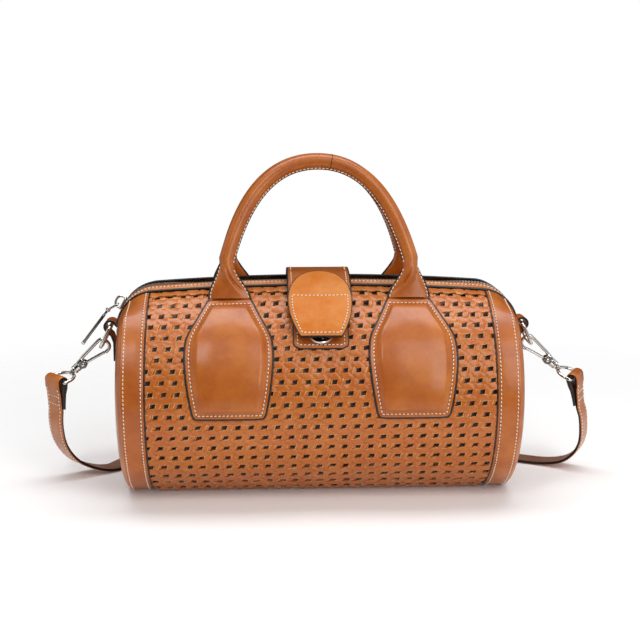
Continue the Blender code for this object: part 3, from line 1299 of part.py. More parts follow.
def add_pivots():
    for place, back in (("front", False), ("back", True)):
        seam = handle_frame(back) @ Vector((0.0, 0.0, (-1 if back else 1) * NECK_THICKNESS / 2))
        pieces = [f"handle_{kind}_{place}" for kind in ("sleeve", "core")]
        pieces += [f"handle_neck_{place}_{side}" for side, _ in SIDES]
        turn_on(f"handle_{place}_pivot", seam, pieces)
    turn_on("flap_pivot", flap_fold(), ("flap_strap", "flap_tab", "snap_stud"))
    shoulder = Vector((-SHOULDER_CENTRE_X, 0.0, SHOULDER_CENTRE_Z))
    slider = turn_on("zip_slider_pivot", shoulder, ("zip_slider",))
    link = turn_on("zip_link_pivot", pull_pivot(), ("zip_pull_link",), slider)
    turn_on("zip_pull_pivot", link_eye(), ("zip_pull_bar",), link)
    for side, sign in SIDES:
        turn_on(f"dring_{side}_pivot", ring_bar(sign), (f"dring_{side}",))
        wire = ring_bar(sign) + mirrored(RING_REACH, sign)
        end = turn_on(f"strap_end_{side}_pivot", wire, (f"strap_ring_{side}", f"strap_fold_{side}"))
        frame = hook_frame(sign)
        hook = turn_on(f"hook_{side}_pivot", frame.translation, (f"hook_{side}", f"gate_pin_{side}"), end)
        turn_on(f"gate_{side}_pivot", in_frame(frame, *PIN_PLACE), (f"gate_{side}",), hook)


def main():
    empty_scene()
    make_shell()
    make_lining()
    make_base_board()
    make_zip()
    make_slider()
    make_pull()
    make_closure_strap()
    make_tab()
    make_snap()
    for place, back in (("front", False), ("back", True)):
        make_handle(place, back)
    for side, sign in SIDES:
        make_end_band(side, sign)
        make_end_panel(side, sign)
        make_zip_stop(side, sign)
        make_side_tab(side, sign)
        make_ring(side, sign)
        make_hook(side, sign)
        make_gate(side, sign)
        make_strap_ring(side, sign)
        make_strap_fold(side, sign)
    make_short_strap()
    make_long_strap()
    make_buckle()
    add_pivots()


main()
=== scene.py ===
"""Looks of a barrel handbag with a woven leather body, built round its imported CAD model.

Each piece of leather, thread and metal that shows is modelled over the CAD part it stands for, in
metres, +Z up, with the bag's front towards -Y. Run with Blender in the background.
"""

import json
import math
import random

import bpy
from bpy.props import FloatProperty, FloatVectorProperty, IntProperty, PointerProperty
from mathutils import Matrix, Vector
from mathutils.geometry import interpolate_bezier

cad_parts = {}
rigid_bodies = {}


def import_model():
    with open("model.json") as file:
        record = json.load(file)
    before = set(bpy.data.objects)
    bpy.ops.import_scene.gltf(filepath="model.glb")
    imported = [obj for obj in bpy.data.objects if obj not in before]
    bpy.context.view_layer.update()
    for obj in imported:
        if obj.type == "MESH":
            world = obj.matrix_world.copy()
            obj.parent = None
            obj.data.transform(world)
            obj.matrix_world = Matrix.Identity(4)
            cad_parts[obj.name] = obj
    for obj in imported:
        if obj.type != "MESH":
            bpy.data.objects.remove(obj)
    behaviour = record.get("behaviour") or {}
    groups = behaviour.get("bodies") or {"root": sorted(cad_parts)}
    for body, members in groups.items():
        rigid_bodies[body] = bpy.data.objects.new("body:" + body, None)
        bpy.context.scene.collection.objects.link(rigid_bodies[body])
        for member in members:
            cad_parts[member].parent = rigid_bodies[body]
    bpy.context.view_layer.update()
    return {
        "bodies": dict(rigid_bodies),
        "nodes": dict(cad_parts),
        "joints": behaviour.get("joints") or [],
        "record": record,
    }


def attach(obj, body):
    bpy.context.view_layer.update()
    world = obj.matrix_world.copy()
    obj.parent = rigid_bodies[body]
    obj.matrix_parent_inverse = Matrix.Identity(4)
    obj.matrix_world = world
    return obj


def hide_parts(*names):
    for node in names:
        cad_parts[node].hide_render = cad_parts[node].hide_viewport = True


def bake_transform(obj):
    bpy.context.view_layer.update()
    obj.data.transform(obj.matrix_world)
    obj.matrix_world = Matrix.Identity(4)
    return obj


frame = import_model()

bl_info = {
    "name": "Barrel handbag looks",
    "version": (1, 0, 0),
    "blender": (4, 5, 0),
    "location": "View3D > Sidebar > Handbag",
    "description": "Adds the woven leather, stitching, fittings and studio of a barrel handbag",
    "category": "Object",
}

SIDES = (("left", 1), ("right", -1))
RIGHT = Vector((1.0, 0.0, 0.0))
BACK = Vector((0.0, 1.0, 0.0))
UP = Vector((0.0, 0.0, 1.0))

# Material slots of the record, and materials by their names below
SKIN = "tan_leather"
DARK = "dark_edge_leather"
METAL = "nickel_plate"
STUFF = {}

# Sizes of leather's marks, from clouds to the sway of its hair creases and patches on raw edges
CLOUD_SIZE = 0.022
SPOT_SIZE = 0.0030
WORN_SIZE = 0.018
PORE_SIZE = 0.0005
GRAIN_SIZE = 0.006
CREASE_SIZE = 1 / 85
SWAY_SIZE = 1 / 140
RAW_EDGE_SIZE = 0.0042

# Barrel, as in the CAD part
HALF_LENGTH = 0.133
HALF_DEPTH = 0.077
HALF_HEIGHT = 0.0726
CENTRE_HEIGHT = 0.0703
BASE_HEIGHT = 0.0017
BAND_WIDTH = 0.0156
BAND_EDGE = HALF_LENGTH - BAND_WIDTH
DOME_HEIGHT = 0.0075
SHOULDER_RADIUS = 0.028
SHOULDER_CENTRE_X = 0.1125
SHOULDER_CENTRE_Z = 0.1149
SHOULDER_BLEND = (0.77, 0.965)
BASE_BULGE = (0.8, 0.92)
TOP_BOW = 0.0038
LINING_DEPTH = 0.0042
LINING_HALF_LENGTH = 0.1293

# Weave: columns of holes along the bag, and the two strips of each crossing
WEAVE_END = BAND_EDGE + 0.002
FIRST_COLUMN = -0.11106
COLUMN_COUNT = 26
CROSSING_HALF_WIDTH = 0.00225
SLIT_PLACE = 0.0010
SLIT_LEAN = 0.00135
STEPS_PER_HOLE = 8
WEAVE_SMOOTH = 34

# Zip, as in the CAD part
PIPING_Y = 0.01955
PIPING_RISE = 0.0012
SLOT_HALF_WIDTH = 0.0208
SLOT_FLOOR = 0.1152
SLOT_ANGLE = math.acos(SLOT_HALF_WIDTH / HALF_DEPTH)
STRIP_INNER_Y = 0.0042
STRIP_OUTER_Y = 0.0183
ZIP_STITCH_Y = 0.0108
ZIP_END_ANGLE = math.radians(86)
SLIDER_ANGLE = math.radians(59.5)
SLIDER_TOP = 0.0029
LINK_ANGLE = math.radians(60)
LINK_LENGTH = 0.0084
PULL_ANGLE = math.radians(37.5)
PULL_LENGTH = 0.031

# Handle patches and handles, as in the CAD part
PATCH_X = 0.0615
PATCH_TOP = 61.5
PATCH_BOTTOM = -4.0
PATCH_OUTLINE = (
    (PATCH_TOP, 0.0147), (50.0, 0.0212), (40.0, 0.0270), (33.0, 0.0286), (24.0, 0.0287),
    (11.0, 0.0269), (2.0, 0.0249), (-2.2, 0.0236), (PATCH_BOTTOM, 0.0219),
)
PATCH_RADIUS = (HALF_DEPTH + HALF_HEIGHT) / 2
HANDLE_RADIUS = 0.0052
NECK_LENGTH = 0.0272
NECK_HALF_WIDTH = 0.0142
NECK_THICKNESS = 0.0038
NECK_SEAT = 0.00165
NECK_STATIONS = 33
HANDLE_HALF_SPAN = 0.0636
HANDLE_TOP_Z = 0.2305
HANDLE_TOP_Y = 0.0061
HANDLE_LEG_PULL = Vector((-0.0109, 0.0402))
HANDLE_TOP_PULL = 0.034

# Flap closure, as in the CAD part
CLOSURE_PATH = (
    (0.0575, None), (0.049, None), (0.037, 0.1395), (0.022, 0.1495), (0.006, 0.1537),
    (-0.010, 0.1532), (-0.0225, 0.1502), (-0.0335, 0.1440), (-0.041, 0.1383),
)
CLOSURE_HALF_WIDTH = 0.0215
HINGE_INDEX = 5
TAB_HALF_WIDTH = 0.0215
TAB_ROUND_RUN = 0.030
TAB_LOWER_RUN = 0.041
TAB_SEAM_START = 0.0262
TAB_SEAM_INSET = 0.0025
SNAP_ANGLE = math.radians(40.5)
TAB_RISE = 0.0082
CLOSURE_PATCH_ANGLES = (math.radians(32.5), math.radians(63))
CLOSURE_PATCH_HALF_WIDTH = 0.018
CLOSURE_PATCH_CORNER = 0.004

# D-rings, hooks and strap rings, as in the CAD part
RING_BAR = Vector((-0.1473, 0.0, 0.1143))
RING_REACH = Vector((-0.0073, 0.0, -0.0151))
SIDE_TAB_FOOT = 0.0895
SIDE_TAB_INNER = 0.1408
SIDE_TAB_OUTER = SIDE_TAB_INNER + 0.0032
HOOK_Y = 0.005
HOOK_AXIS = Vector((0.744, 0.0, 0.668)).normalized()
HOOK_LENGTH = 0.0355
HOOK_SEAT = 0.00375
PIN_PLACE = Vector((0.0117, 0.0, -0.0010))
SWIVEL_LENGTH = 0.0128

# Shoulder strap: how its rings lie, and its way from the folds down to the ground
STRAP_WIDTH = 0.017
FOLD_LENGTH = 0.021
STRAP_REST = 0.0015
STRAP_LIE_Y = 0.062
TURN_RADIUS = 0.0024
STRAP_NODES = {"left": ("strap_short", "strap_fold_left"), "right": ("strap_long", "strap_fold_right")}
STRAP_RING_SET = {
    "left": (Vector((0.70, -0.71, -0.05)).normalized(), Vector((-0.68, -0.69, -0.25))),
    "right": (Vector((0.50, -0.86, -0.08)).normalized(), Vector((-0.74, -0.40, -0.33))),
}
STRAP_DROPS = {
    "left": (
        (0.1886, -0.0028, 0.0440), (0.1878, 0.0010, 0.0315), (0.1846, 0.0045, 0.0215),
        (0.1782, 0.0085, 0.0125), (0.1688, 0.0132, 0.0062), (0.1590, 0.0178, 0.0026),
        (0.1515, 0.0235, STRAP_REST), (0.1455, 0.0335, STRAP_REST), (0.1375, 0.0460, STRAP_REST),
        (0.1240, 0.0565, STRAP_REST), (0.1080, 0.0608, STRAP_REST),
    ),
    "right": (
        (0.1960, -0.0002, 0.0435), (0.1976, 0.0030, 0.0300), (0.1968, 0.0062, 0.0205),
        (0.1932, 0.0098, 0.0125), (0.1862, 0.0150, 0.0058), (0.1745, 0.0232, 0.0020),
        (0.1600, 0.0308, STRAP_REST), (0.1480, 0.0382, STRAP_REST), (0.1370, 0.0475, STRAP_REST),
        (0.1240, 0.0565, STRAP_REST), (0.1080, 0.0608, STRAP_REST),
    ),
}
SHORT_END = ((-0.098, 0.0022), (-0.091, 0.0030), (-0.083, 0.0030), (-0.070, 0.0030), (-0.0625, 0.0034))
LONG_END = (
    (-0.022, 0.0099), (-0.030, 0.0035), (-0.040, STRAP_REST), (-0.048, 0.0019), (-0.056, 0.0045),
    (-0.062, 0.0067), (-0.080, 0.0067), (-0.090, 0.0061), (-0.102, 0.0055),
)
BUCKLE_X = -0.062
BUCKLE_LENGTH = 0.016
KEEPER_X = -0.090
KEEPER_LENGTH = 0.007

# Camera of the photograph: its aim, distance and focal length for a picture one wide
CAMERA_AIM = Vector((0.002, 0.0, 0.1168))
CAMERA_DISTANCE = 0.855
CAMERA_RISE = math.radians(10.5)
CAMERA_TURN = math.radians(-2.5)
FOCAL_LENGTH = 1188 / 640
SENSOR_WIDTH = 36


def linear(hex_colour):
    """A linear colour from an sRGB hex string."""
    parts = [int(hex_colour[i:i + 2], 16) / 255 for i in (1, 3, 5)]
    return tuple(v / 12.92 if v <= 0.04045 else ((v + 0.055) / 1.055) ** 2.4 for v in parts)


COLOUR = {"subtype": "COLOR", "size": 3, "min": 0.0, "max": 1.0}


class HandbagSizes(bpy.types.PropertyGroup):
    column_pitch: FloatProperty(
        name="Weave column pitch", description="Distance between holes along the bag",
        default=0.00881, min=0.004, max=0.02, unit="LENGTH",
    )
    strap_width: FloatProperty(
        name="Weave strap width", description="Width of the straps that run along the bag",
        default=0.0046, min=0.002, max=0.01, unit="LENGTH",
    )
    stitch_pitch: FloatProperty(
        name="Stitch pitch", description="Distance from one stitch to the next",
        default=0.0027, min=0.001, max=0.006, unit="LENGTH",
    )
    thread_radius: FloatProperty(
        name="Thread radius", description="Half the thickness of the sewing thread",
        default=0.00036, min=0.0001, max=0.001, unit="LENGTH",
    )
    teeth_pitch: FloatProperty(
        name="Zip tooth pitch", description="Distance between teeth on one tape",
        default=0.0022, min=0.001, max=0.005, unit="LENGTH",
    )
    seed: IntProperty(name="Seed", description="Seed of the small irregularities", default=7, min=0)


class HandbagColours(bpy.types.PropertyGroup):
    leather: FloatVectorProperty(
        name="Leather", description="Tan of the plain leather", default=linear("#A4500E"), **COLOUR
    )
    leather_pale: FloatVectorProperty(
        name="Pale leather", description="Tan where the finish is thin", default=linear("#BC6A1E"), **COLOUR
    )
    # Lighter tan for the tab and the zip strips: on the strips it is painted highlight, on the tab partly its
    # own tone and partly painted light
    leather_light: FloatVectorProperty(
        name="Light leather", description="Tan of the flap's tab", default=linear("#C56C22"), **COLOUR
    )
    weave: FloatVectorProperty(
        name="Woven leather", description="Tan of the woven strips", default=linear("#B25A0D"), **COLOUR
    )
    edge: FloatVectorProperty(
        name="Edge paint", description="Near-black paint on cut edges", default=linear("#17110F"), **COLOUR
    )
    raw_edge: FloatVectorProperty(
        name="Raw edge", description="Pale unpainted cut edge of the woven strips",
        default=linear("#E2A765"), **COLOUR
    )
    thread: FloatVectorProperty(
        name="Thread", description="Off-white sewing thread", default=linear("#F0DCC4"), **COLOUR
    )
    lining: FloatVectorProperty(
        name="Lining", description="Dark cloth seen through the weave", default=linear("#8A817F"), **COLOUR
    )


def sizes():
    return bpy.context.scene.handbag_sizes


def spread(low, high, steps):
    return [low + (high - low) * i / steps for i in range(steps + 1)]


def clamp(t, low=0.0, high=1.0):
    return min(max(t, low), high)


def ease(t):
    t = clamp(t)
    return t * t * (3 - 2 * t)


def bump(t):
    """A smooth bump: 1 at t = 0, falling to 0 at a distance of 1."""
    return 1 - ease(abs(t))


def smooth_path(points, steps):
    """Points on a smooth curve through the given ones, with steps between each pair."""
    points = [Vector(p) for p in points]
    ends = [points[0] * 2 - points[1]] + points + [points[-1] * 2 - points[-2]]
    path = []
    for before, start, end, after in zip(ends, ends[1:], ends[2:], ends[3:]):
        for i in range(steps):
            t = i / steps
            straight = 2 * start + (end - before) * t
            bend = (2 * before - 5 * start + 4 * end - after) * t * t
            path.append(0.5 * (straight + bend + (3 * start - before - 3 * end + after) * t ** 3))
    return path + [points[-1]]


def heading(line, i):
    return (line[min(i + 1, len(line) - 1)] - line[max(i - 1, 0)]).normalized()


def run_lengths(points):
    """The length run along points, at each of them."""
    runs = [0.0]
    for a, b in zip(points, points[1:]):
        runs.append(runs[-1] + (b - a).length)
    return runs


def mirrored(vector, sign):
    return Vector((sign * vector[0], vector[1], vector[2]))


def axes(x, y, z, origin=Vector((0.0, 0.0, 0.0))):
    """A frame with these directions, set at an origin."""
    return Matrix.Translation(origin) @ Matrix((x, y, z)).transposed().to_4x4()


def top_bow(x):
    return TOP_BOW * max(1 - (x / SHOULDER_CENTRE_X) ** 2, 0.0)


def shoulder_share(angle):
    low, high = SHOULDER_BLEND
    return ease((math.sin(angle) - low) / (high - low))


def base_drop(x, angle):
    low, high = BASE_BULGE
    along = clamp((BAND_EDGE - abs(x)) / (BAND_EDGE - SHOULDER_CENTRE_X))
    return BASE_HEIGHT * along * ease((-math.sin(angle) - low) / (high - low))


def body_point(x, angle, offset=0.0):
    """A point on the barrel. The angle is 0 at the front, 90 degrees on top, -90 at the base."""
    y = -(HALF_DEPTH + offset) * math.cos(angle)
    z = CENTRE_HEIGHT + (HALF_HEIGHT + offset) * math.sin(angle)
    z = max(z, BASE_HEIGHT - offset) - base_drop(x, angle)
    radius = SHOULDER_RADIUS + offset
    reach = clamp(abs(x) - SHOULDER_CENTRE_X, 0.0, radius)
    drop = radius - math.sqrt(radius ** 2 - reach ** 2) - top_bow(x)
    return Vector((x, y, z - drop * shoulder_share(angle)))


def body_normal(angle):
    return Vector((0.0, -math.cos(angle) / HALF_DEPTH, math.sin(angle) / HALF_HEIGHT)).normalized()


def dome_point(share, angle, offset):
    """A point on the right end panel, from its centre at share 0 to its seam at share 1."""
    seam = body_point(HALF_LENGTH + offset, angle, offset)
    z = CENTRE_HEIGHT + (seam.z - CENTRE_HEIGHT) * share
    domed = DOME_HEIGHT * math.sqrt(max(1 - share ** 2, 0.0))
    radius = SHOULDER_RADIUS + offset
    top = z + HALF_HEIGHT * (1 - math.sin(angle)) * share
    climb = clamp(top - SHOULDER_CENTRE_Z, 0.0, radius)
    rounded = SHOULDER_CENTRE_X + math.sqrt(radius ** 2 - climb ** 2) - HALF_LENGTH - offset
    mix = shoulder_share(angle)
    return Vector((HALF_LENGTH + offset + domed * (1 - mix) + rounded * mix, seam.y * share, z))


def zip_point(run, y, offset):
    """A point on the zip's band: along the top by run, then down over a shoulder."""
    sag = HALF_HEIGHT * (1 - math.sqrt(1 - (y / HALF_DEPTH) ** 2))
    beyond = abs(run) - SHOULDER_CENTRE_X
    if beyond <= 0:
        return Vector((run, y, CENTRE_HEIGHT + HALF_HEIGHT + offset - sag + top_bow(run)))
    angle = beyond / SHOULDER_RADIUS
    radius = SHOULDER_RADIUS + offset - sag
    x = SHOULDER_CENTRE_X + radius * math.sin(angle)
    return Vector((math.copysign(x, run), y, SHOULDER_CENTRE_Z + radius * math.cos(angle)))


def zip_frame(angle, sign=1):
    """A frame on the shoulder: X along the zip towards its end, Y back, Z out of the surface."""
    tangent = Vector((-sign * math.cos(angle), 0.0, -math.sin(angle)))
    normal = Vector((-sign * math.sin(angle), 0.0, math.cos(angle)))
    origin = Vector((-sign * SHOULDER_CENTRE_X, 0.0, SHOULDER_CENTRE_Z)) + normal * SHOULDER_RADIUS
    return axes(tangent, normal.cross(tangent), normal, origin)


def deselect():
    bpy.ops.object.select_all(action="DESELECT")


def pick(obj):
    """obj alone selected and active."""
    deselect()
    obj.select_set(True)
    bpy.context.view_layer.objects.active = obj


def modify(obj, kind, **settings):
    """A modifier added and applied at once."""
    pick(obj)
    bpy.ops.object.modifier_add(type=kind)
    step = obj.modifiers[-1]
    for key, value in settings.items():
        setattr(step, key, value)
    bpy.ops.object.modifier_apply(modifier=step.name)
    return obj


def smooth(obj, degrees=40):
    pick(obj)
    bpy.ops.object.shade_smooth_by_angle(angle=math.radians(degrees))
    return obj


def weld(obj, distance, turn="outwards"):
    """Corners closer than a distance made one, with the faces turned outwards or the other way round."""
    pick(obj)
    bpy.ops.object.mode_set(mode="EDIT")
    bpy.ops.mesh.select_all(action="SELECT")
    bpy.ops.mesh.remove_doubles(threshold=distance)
    if turn == "outwards":
        bpy.ops.mesh.normals_make_consistent(inside=False)
    elif turn == "round":
        bpy.ops.mesh.flip_normals()
    bpy.ops.object.mode_set(mode="OBJECT")


def added(name, data):
    """A new object in the scene that shows this mesh, curve, light or camera."""
    obj = bpy.data.objects.new(name, data)
    bpy.context.scene.collection.objects.link(obj)
    return obj


def grid(name, columns, rows, place):
    """A primitive grid whose corners are laid by place(column, row), counted from 0."""
    deselect()
    bpy.ops.mesh.primitive_grid_add(x_subdivisions=columns, y_subdivisions=rows, size=2)
    obj = bpy.context.object
    obj.name = name
    for vert in obj.data.vertices:
        vert.co = place(round((vert.co.x + 1) / 2 * columns), round((vert.co.y + 1) / 2 * rows))
    return obj


def border(obj, columns, rows, along_sides):
    """The second material on a grid's outermost faces: on its left and right, or at both its ends."""
    for face in obj.data.polygons:
        places = [v % (columns + 1) if along_sides else v // (columns + 1) for v in face.vertices]
        last = columns if along_sides else rows
        face.material_index = 1 if min(places) == 0 or max(places) == last else 0


def join(name, pieces):
    """The pieces joined into the first."""
    pick(pieces[0])
    for piece in pieces:
        piece.select_set(True)
    bpy.ops.object.join()
    pieces[0].name = name
    return pieces[0]


def paint(obj, *names):
    """The materials of a piece, by their names in STUFF."""
    obj.data.materials.clear()
    for name in names:
        obj.data.materials.append(STUFF[name])
    return obj


def place_in(obj, frame):
    """The mesh carried into a frame, with its faces still outward if the frame mirrors it."""
    obj.data.transform(frame)
    if frame.determinant() < 0:
        obj.data.flip_normals()
    return obj


def mirror_copy(obj, name, x_sign, y_sign):
    """A copy with its own mesh, mirrored across the bag's middle planes where a sign is -1."""
    return place_in(added(name, obj.data.copy()), Matrix.Diagonal((x_sign, y_sign, 1.0, 1.0)))


def leather_sheet(name, columns, rows, place, thickness, materials=("leather", "edge"), corner=0.0):
    """A leather piece laid by its outer face, with its thickness, painted edge and eased corners."""
    obj = paint(grid(name, columns, rows, place), *materials)
    rim = min(1, len(materials) - 1)
    modify(
        obj, "SOLIDIFY", thickness=thickness, offset=-1.0, use_even_offset=True, material_offset_rim=rim
    )
    if corner:
        modify(obj, "BEVEL", width=corner, segments=2, limit_method="ANGLE", angle_limit=math.radians(50))
    return smooth(obj)


def wire(name, points, radius, closed=False, material="nickel", sides=3):
    """A round wire through points."""
    data = bpy.data.curves.new(name, "CURVE")
    data.dimensions = "3D"
    data.bevel_depth = radius
    data.bevel_resolution = sides
    data.use_fill_caps = not closed
    spline = data.splines.new("POLY")
    spline.points.add(len(points) - 1)
    for target, point in zip(spline.points, points):
        target.co = (*point, 1.0)
    spline.use_cyclic_u = closed
    pick(added(name, data))
    bpy.ops.object.convert(target="MESH")
    return smooth(paint(bpy.context.object, material), 60)


def block(name, low, high, frame=None, corner=0.0004, material="nickel"):
    """A box between two corners with rounded edges, optionally set in a frame."""
    low, high = Vector(low), Vector(high)
    deselect()
    bpy.ops.mesh.primitive_cube_add(size=1, location=(low + high) / 2)
    obj = bpy.context.object
    obj.name = name
    obj.scale = high - low
    bpy.ops.object.transform_apply(location=True, rotation=True, scale=True)
    if corner:
        modify(obj, "BEVEL", width=corner, segments=3, limit_method="ANGLE")
    if frame is not None:
        place_in(obj, frame)
    if material:
        paint(obj, material)
    return smooth(obj)


def turned(name, profile, frame, material="nickel", steps=32):
    """A turned piece: a profile of (height, radius) pairs spun round the frame's Z axis."""
    deselect()
    bpy.ops.mesh.primitive_cylinder_add(vertices=steps, radius=1, depth=2, end_fill_type="NGON")
    obj = bpy.context.object
    obj.name = name
    for edge in obj.data.edges:
        ends = [obj.data.vertices[v].co.z for v in edge.vertices]
        edge.select = abs(ends[0] - ends[1]) > 1
    for part in (obj.data.vertices, obj.data.polygons):
        for item in part:
            item.select = False
    bpy.context.tool_settings.mesh_select_mode = (False, True, False)
    bpy.ops.object.mode_set(mode="EDIT")
    bpy.ops.mesh.subdivide(number_cuts=len(profile) - 2)
    bpy.ops.object.mode_set(mode="OBJECT")
    for vert in obj.data.vertices:
        height, radius = profile[round((vert.co.z + 1) / 2 * (len(profile) - 1))]
        vert.co = frame @ Vector((vert.co.x * radius, vert.co.y * radius, height))
    smooth(paint(obj, material), 35)
    if frame.determinant() < 0:
        obj.data.flip_normals()
    return obj


def one_stitch():
    """The stitch that all the rows repeat: a thread that dips at both ends, and a dark disc at its needle
    hole, which is painted shade.
    """
    half = sizes().stitch_pitch * 0.38
    radius = sizes().thread_radius
    parts = []
    for rings in (4, 6):
        deselect()
        bpy.ops.mesh.primitive_uv_sphere_add(segments=8, ring_count=rings, radius=1)
        parts.append(bpy.context.object)
    hole, thread = parts
    # The hole is a flat dark disc under the thread's end, painted shade inside the needle hole
    for vert in hole.data.vertices:
        x, y, z = vert.co
        vert.co = (sizes().stitch_pitch / 2 + x * radius, y * radius * 1.1, z * radius * 0.25 - radius * 0.5)
    for vert in thread.data.vertices:
        x, y, z = vert.co
        reach = math.copysign(abs(z) ** 0.7, z)
        vert.co = (reach * half, x * radius, y * radius - radius * 0.9 * reach ** 4)
    return smooth(join("stitch", [paint(thread, "thread"), paint(hole, "hole")]), 180)


def sew(name, rows):
    """Rows of stitches. Each row is a list of (point, outward direction) pairs along its seam."""
    model = one_stitch()
    copies = []
    shake = random.Random(sizes().seed)
    for row in rows:
        lengths = run_lengths([point for point, _ in row])
        count = max(1, round(lengths[-1] / sizes().stitch_pitch))
        step = 0
        for k in range(count):
            place = (k + 0.5) * lengths[-1] / count
            while lengths[step + 1] < place:
                step += 1
            share = (place - lengths[step]) / (lengths[step + 1] - lengths[step])
            (a, up_a), (b, up_b) = row[step], row[step + 1]
            along = (b - a).normalized()
            up = up_a.lerp(up_b, share)
            up = (up - along * up.dot(along)).normalized()
            slant = Matrix.Rotation(math.radians(7 + shake.uniform(-3, 3)), 4, "Z")
            spot = a.lerp(b, share) + up * sizes().thread_radius * 0.25
            data = model.data.copy()
            data.transform(axes(along, up.cross(along), up, spot) @ slant)
            copies.append(added(name, data))
    bpy.data.objects.remove(model, do_unlink=True)
    return join(name, copies)


def wear(obj, body, slot, *nodes):
    """A finished piece: it moves with a CAD body and stands for CAD nodes, which it hides; its slot is not
    used.
    """
    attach(obj, body)
    if nodes:
        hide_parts(*nodes)
    return obj


def trim(name, points, radius, body="bag", closed=False):
    """A finished black edge along points."""
    return wear(wire(name, points, radius, closed, "edge"), body, DARK)


def node(material, kind, inputs=None, **settings):
    """A shader node with its settings and its inputs: numbers, colours or other nodes' outputs."""
    tree = material.node_tree
    new = tree.nodes.new(kind)
    for key, value in settings.items():
        setattr(new, key, value)
    for key, value in (inputs or {}).items():
        if isinstance(value, bpy.types.NodeSocket):
            tree.links.new(value, new.inputs[key])
        elif new.inputs[key].type == "RGBA":
            new.inputs[key].default_value = (*value, 1.0)
        else:
            new.inputs[key].default_value = value
    return new


def principled(name, **inputs):
    """A material with a Principled shader, its shader node and object coordinates in metres."""
    material = bpy.data.materials.new(name)
    material.use_nodes = True
    shader = material.node_tree.nodes["Principled BSDF"]
    for key, value in inputs.items():
        shader.inputs[key.replace("_", " ")].default_value = value
    place = node(material, "ShaderNodeTexCoord")
    mapping = node(material, "ShaderNodeMapping", {"Vector": place.outputs["Object"]})
    return material, shader, mapping.outputs["Vector"]


def leather_material(name, base, pale, gloss=0.55, wrinkles=0.35, shine=0.25):
    """Vegetable-tanned leather with a glazed finish: cloudy colour, fine pores and hair creases."""
    material, shader, vector = principled(
        name, Coat_Weight=gloss, Coat_Roughness=0.23, Specular_IOR_Level=shine
    )
    clouds, spots, worn, pores, grain = (
        node(
            material, "ShaderNodeTexNoise",
            {"Vector": vector, "Scale": 1 / size, "Detail": detail, "Roughness": roughness},
        ).outputs["Fac"]
        for size, detail, roughness in (
            (CLOUD_SIZE, 4.0, 0.6), (SPOT_SIZE, 3.0, 0.55), (WORN_SIZE, 2.0, 0.55),
            (PORE_SIZE, 2.0, 0.55), (GRAIN_SIZE, 3.0, 0.55),
        )
    )
    sway = node(material, "ShaderNodeTexNoise", {"Vector": vector, "Scale": 1 / SWAY_SIZE, "Detail": 3.0})
    bent = node(
        material, "ShaderNodeMix", {0: 0.012, 4: vector, 5: sway.outputs["Color"]}, data_type="VECTOR"
    )
    lines = node(
        material, "ShaderNodeTexVoronoi", {"Vector": bent.outputs[1], "Scale": 1 / CREASE_SIZE},
        feature="DISTANCE_TO_EDGE",
    ).outputs["Distance"]
    clouded, spotted, creased, thin, patchy = (
        node(material, "ShaderNodeMapRange", {
            "Value": value, "From Min": low, "From Max": high, "To Min": first, "To Max": last,
        }).outputs["Result"]
        for value, low, high, first, last in (
            (clouds, 0.34, 0.72, 0.0, 1.0), (spots, 0.55, 0.80, 0.0, 0.3),
            (worn, 0.45, 0.62, 0.0, wrinkles), (lines, 0.0, 0.035, 1.0, 0.0),
            (clouds, 0.3, 0.7, 0.46, 0.34),
        )
    )
    crease = node(material, "ShaderNodeMath", {0: thin, 1: creased}, operation="MULTIPLY").outputs["Value"]
    darker = tuple(v * 0.60 for v in base)
    colour = base
    for share, tint in ((clouded, pale), (spotted, darker), (crease, pale)):
        colour = node(
            material, "ShaderNodeMix", {0: share, 6: colour, 7: tint}, data_type="RGBA"
        ).outputs[2]
    rough = node(material, "ShaderNodeMath", {0: pores, 1: grain}, operation="ADD").outputs["Value"]
    height = node(material, "ShaderNodeMath", {0: rough, 1: crease}, operation="SUBTRACT").outputs["Value"]
    bump = node(material, "ShaderNodeBump", {"Height": height, "Strength": 1.0, "Distance": 0.00009})
    for value, place in ((colour, "Base Color"), (patchy, "Roughness"), (bump.outputs[0], "Normal")):
        material.node_tree.links.new(value, shader.inputs[place])
    return material


def plain_material(name, colour, roughness, size, depth, **inputs):
    """A plain material whose surface is a little uneven at a size in metres."""
    material, shader, vector = principled(name, Roughness=roughness, **inputs)
    shader.inputs["Base Color"].default_value = (*colour, 1.0)
    uneven = node(
        material, "ShaderNodeTexNoise",
        {"Vector": vector, "Scale": 1 / size, "Detail": 3.0, "Roughness": 0.55},
    ).outputs["Fac"]
    bump = node(material, "ShaderNodeBump", {"Height": uneven, "Strength": 1.0, "Distance": depth})
    material.node_tree.links.new(bump.outputs["Normal"], shader.inputs["Normal"])
    return material


def raw_edge_material(name, skin, flesh):
    """Cut leather edges: the pale middle of the hide, in places still under the glaze."""
    material = plain_material(name, skin, 0.5, 0.0008, 0.00004)
    parts = material.node_tree.nodes
    glaze = node(material, "ShaderNodeTexNoise", {
        "Vector": parts["Mapping"].outputs["Vector"], "Scale": 1 / RAW_EDGE_SIZE, "Detail": 3.0,
        "Roughness": 0.55,
    }).outputs["Fac"]
    share = node(material, "ShaderNodeMapRange", {
        "Value": glaze, "From Min": 0.44, "From Max": 0.62, "To Min": 0.05, "To Max": 0.9,
    }).outputs["Result"]
    colour = node(material, "ShaderNodeMix", {0: share, 6: skin, 7: flesh}, data_type="RGBA").outputs[2]
    material.node_tree.links.new(colour, parts["Principled BSDF"].inputs["Base Color"])
    return material


